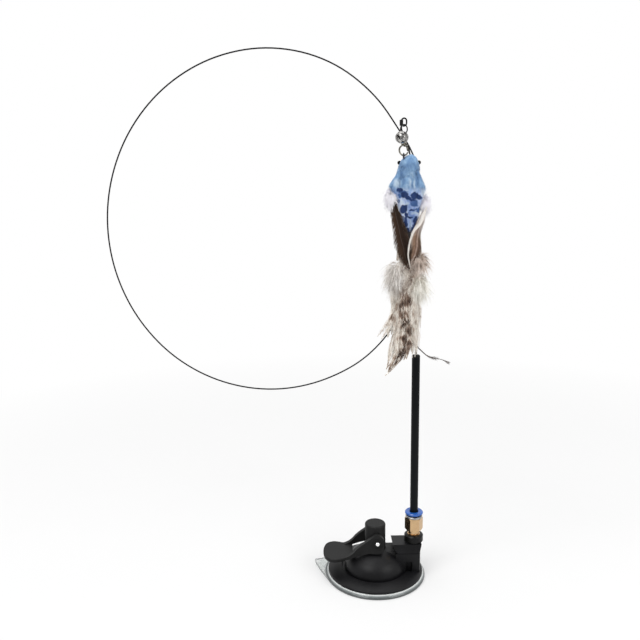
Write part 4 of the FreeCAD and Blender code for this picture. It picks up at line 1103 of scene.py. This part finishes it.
def make_bird(cloth):
    """Head and body as one plush form with short pile."""
    form = soft_form("bird_plush", BIRD_SECTIONS, BIRD_Y, rings=64, around=48, lumps=0.35)
    put_on(form, cloth, "blue_cloth", nodes=("bird_head", "bird_body"))
    hair = pile(BIRD_SECTIONS, BIRD_Y, random.Random(11), count=6500, length=1.1)
    put_on(hair.build("bird_pile"), cloth, "blue_cloth")


def make_wings(cloth):
    """Folded wings with the same pile."""
    for side, sections, seed in (("left", LEFT_WING, 21), ("right", RIGHT_WING, 22)):
        form = soft_form("wing_plush_" + side, sections, WING_Y, rings=40, around=32, lumps=0.2, seed=seed)
        put_on(form, cloth, "blue_cloth", nodes=("bird_wing_" + side,))
        hair = pile(sections, WING_Y, random.Random(seed), count=1800, length=1.3)
        put_on(hair.build("wing_pile_" + side), cloth, "blue_cloth")


def make_puffs(material):
    """White down beside the body."""
    for side, *clump in WHITE_DOWN:
        down = tuft(*clump, length=3.6, width=0.36, droop=0.5, curl=0.35)
        put_on(down.build("white_down_" + side), material, "down", nodes=("white_puff_" + side,))


def make_short_feathers(quill):
    """The two smooth feathers that lie over the tail, the right one with a curled white rim."""
    for name, side, stations, material, slot, twist, seed in (
        ("brown_vane_left", "left", BROWN_LEFT, brown_vane(), "brown_feather", -14.0, 41),
        ("tan_vane_right", "right", TAN_RIGHT, tan_vane(), "tan_feather", 14.0, 42),
    ):
        feather = Feathers()
        look = Look(sweep=1.0, width=0.8, cup=1.4, split=0.1, twist=twist)
        feather.add(stations, look, random.Random(seed), barbs=170, radius=0.22)
        feather.build(name, name + "_quill", material, quill, slot, nodes=("brown_feather_" + side,))
    white = vane_material("white_rim", [(0.0, (0.86, 0.80, 0.74)), (1.0, (0.95, 0.93, 0.90))], 0.12)
    rim = Ribbons()
    look = Look(sweep=1.3, width=0.8, cup=-1.0, split=0.1, twist=10.0)
    vane(rim, WHITE_RIM, look, random.Random(43), barbs=120)
    put_on(rim.build("white_rim_right"), white, "tan_feather")


def make_hackles(material, quill):
    """Skirt of mottled feathers, with narrow ones that stand apart and a collar behind."""
    rng = random.Random(50)
    groups = {}
    add_skirt(groups, rng)
    add_strands(groups, rng)
    add_collar(groups, rng)
    for node, feathers in groups.items():
        feathers.build(node + "_vanes", node + "_quills", material, quill, "hackle", nodes=(node,))


def make_fluff():
    """Loose down at the roots of the hackles."""
    for name, look, *clump in FLUFF:
        down = tuft(*clump, length=6.0, width=0.26, droop=0.7, curl=0.5)
        put_on(down.build(name), down_material(*look), "hackle")


def make_stray_quill(material, quill):
    """One bare quill that stands out at the lower right, with dark tufts."""
    feather = Feathers()
    look = Look(sweep=2.2, width=0.4, cup=0.3, split=0.5, twist=10.0)
    feather.add(STRAY_QUILL, look, random.Random(61), barbs=60, radius=0.55,
                shade=lambda point, part, u: 0.85 if part > 0.4 else 0.4)
    feather.build("stray_barbs", "stray_quill", material, quill, "hackle")


def make_binding(material):
    """Thread wound over the roots of the feathers."""
    sections = [(BINDING_X, z, radius, radius) for radius, z in BINDING_CORE]
    core = soft_form("tail_core", sections, BINDING_Y, rings=24, around=24, lumps=0.1)
    put_on(core, material, "felt", nodes=("feather_binding",))
    steps = THREAD_TURNS * TURN_STEPS
    path = []
    for part, (radius, z) in zip(parts_of(steps), curve_through(BINDING_THREAD, steps)):
        angle = 2 * math.pi * THREAD_TURNS * part
        path.append(BINDING_AXIS + Vector((radius * math.cos(angle), radius * math.sin(angle), z)))
    thread = tube(path, [THREAD_R] * len(path), sides=6)
    put_on(join_parts("tail_thread", [thread]), material, "felt")


def make_cord_loop(material):
    """Two twisted strands bent round in the loop on the head."""
    strands = []
    for start in (0.0, math.pi):
        path = []
        for part in parts_of(LOOP_STEPS):
            angle = 2 * math.pi * part
            twist = angle * CORD_TWISTS + start
            radial = Vector((0, math.cos(angle), math.sin(angle)))
            sideways = Vector((STRAND_OUT * math.sin(twist), 0, 0))
            offset = radial * (STRAND_OUT * math.cos(twist)) + sideways
            path.append(LOOP_CENTRE + radial * LOOP_R + offset)
        strands.append(tube(path, [STRAND_R] * len(path), sides=6))
    put_on(join_parts("head_cord", strands), material, "cord", nodes=("bird_loop",))


def make_beak(material):
    """Folded felt beak on the far side of the head."""
    folds = []
    for lift, scale in ((0.45, 1.0), (-0.5, 0.8)):
        path = []
        radii = []
        for part in parts_of(8):
            y = BIRD_Y + 5.4 + 4.4 * part * scale
            z = 308.7 - 1.6 * part + lift * (1 - part)
            path.append(Vector((20.3, y, z)))
            radii.append((1.15 * (1 - part) ** 0.7 + 0.12) * scale)
        folds.append(tube(path, radii, sides=12))
    put_on(join_parts("felt_beak", folds), material, "felt", nodes=("bird_beak",))


# The whole scene


def dress(frame, nodes, material):
    """Put a finish on solids."""
    for node in nodes:
        slots = frame["nodes"][node].data.materials
        slots.clear()
        slots.append(material)


def dress_hard_parts(frame):
    """Put each finish on its solids."""
    dress(frame, ["suction_pad"], pad_rubber())
    dress(frame, ["release_collet"], smooth_colour("collet_blue", COLLET_BLUE, 0.25, coat=0.25))
    tables = ((moulded_plastic, PLASTICS), (turned_metal, TURNED_METALS), (painted_reflection_metal, PAINTED_REFLECTION_METALS))
    for finish, rows in tables:
        for *look, nodes in rows:
            dress(frame, nodes, finish(*look))


def main():
    """Build the whole scene."""
    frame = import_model()
    make_camera()
    make_world()
    make_floor()
    make_lights()
    dress_hard_parts(frame)
    cloth = bird_cloth()
    make_bird(cloth)
    make_wings(cloth)
    make_puffs(down_material("white_down", (0.90, 0.88, 0.95), (0.98, 0.97, 0.99)))
    dark_quill = smooth_colour("dark_quill", (0.05, 0.032, 0.024), 0.4)
    make_short_feathers(dark_quill)
    hackle = hackle_material()
    make_hackles(hackle, smooth_colour("pale_quill", (0.40, 0.31, 0.24), 0.4))
    make_fluff()
    make_stray_quill(hackle, dark_quill)
    make_binding(thread_material("binding_thread", (0.08, 0.07, 0.07)))
    make_cord_loop(thread_material("cord_thread", (0.03, 0.03, 0.05)))
    make_beak(thread_material("felt", (0.03, 0.03, 0.035)))
    bpy.context.scene.view_settings.view_transform = "Standard"


main()
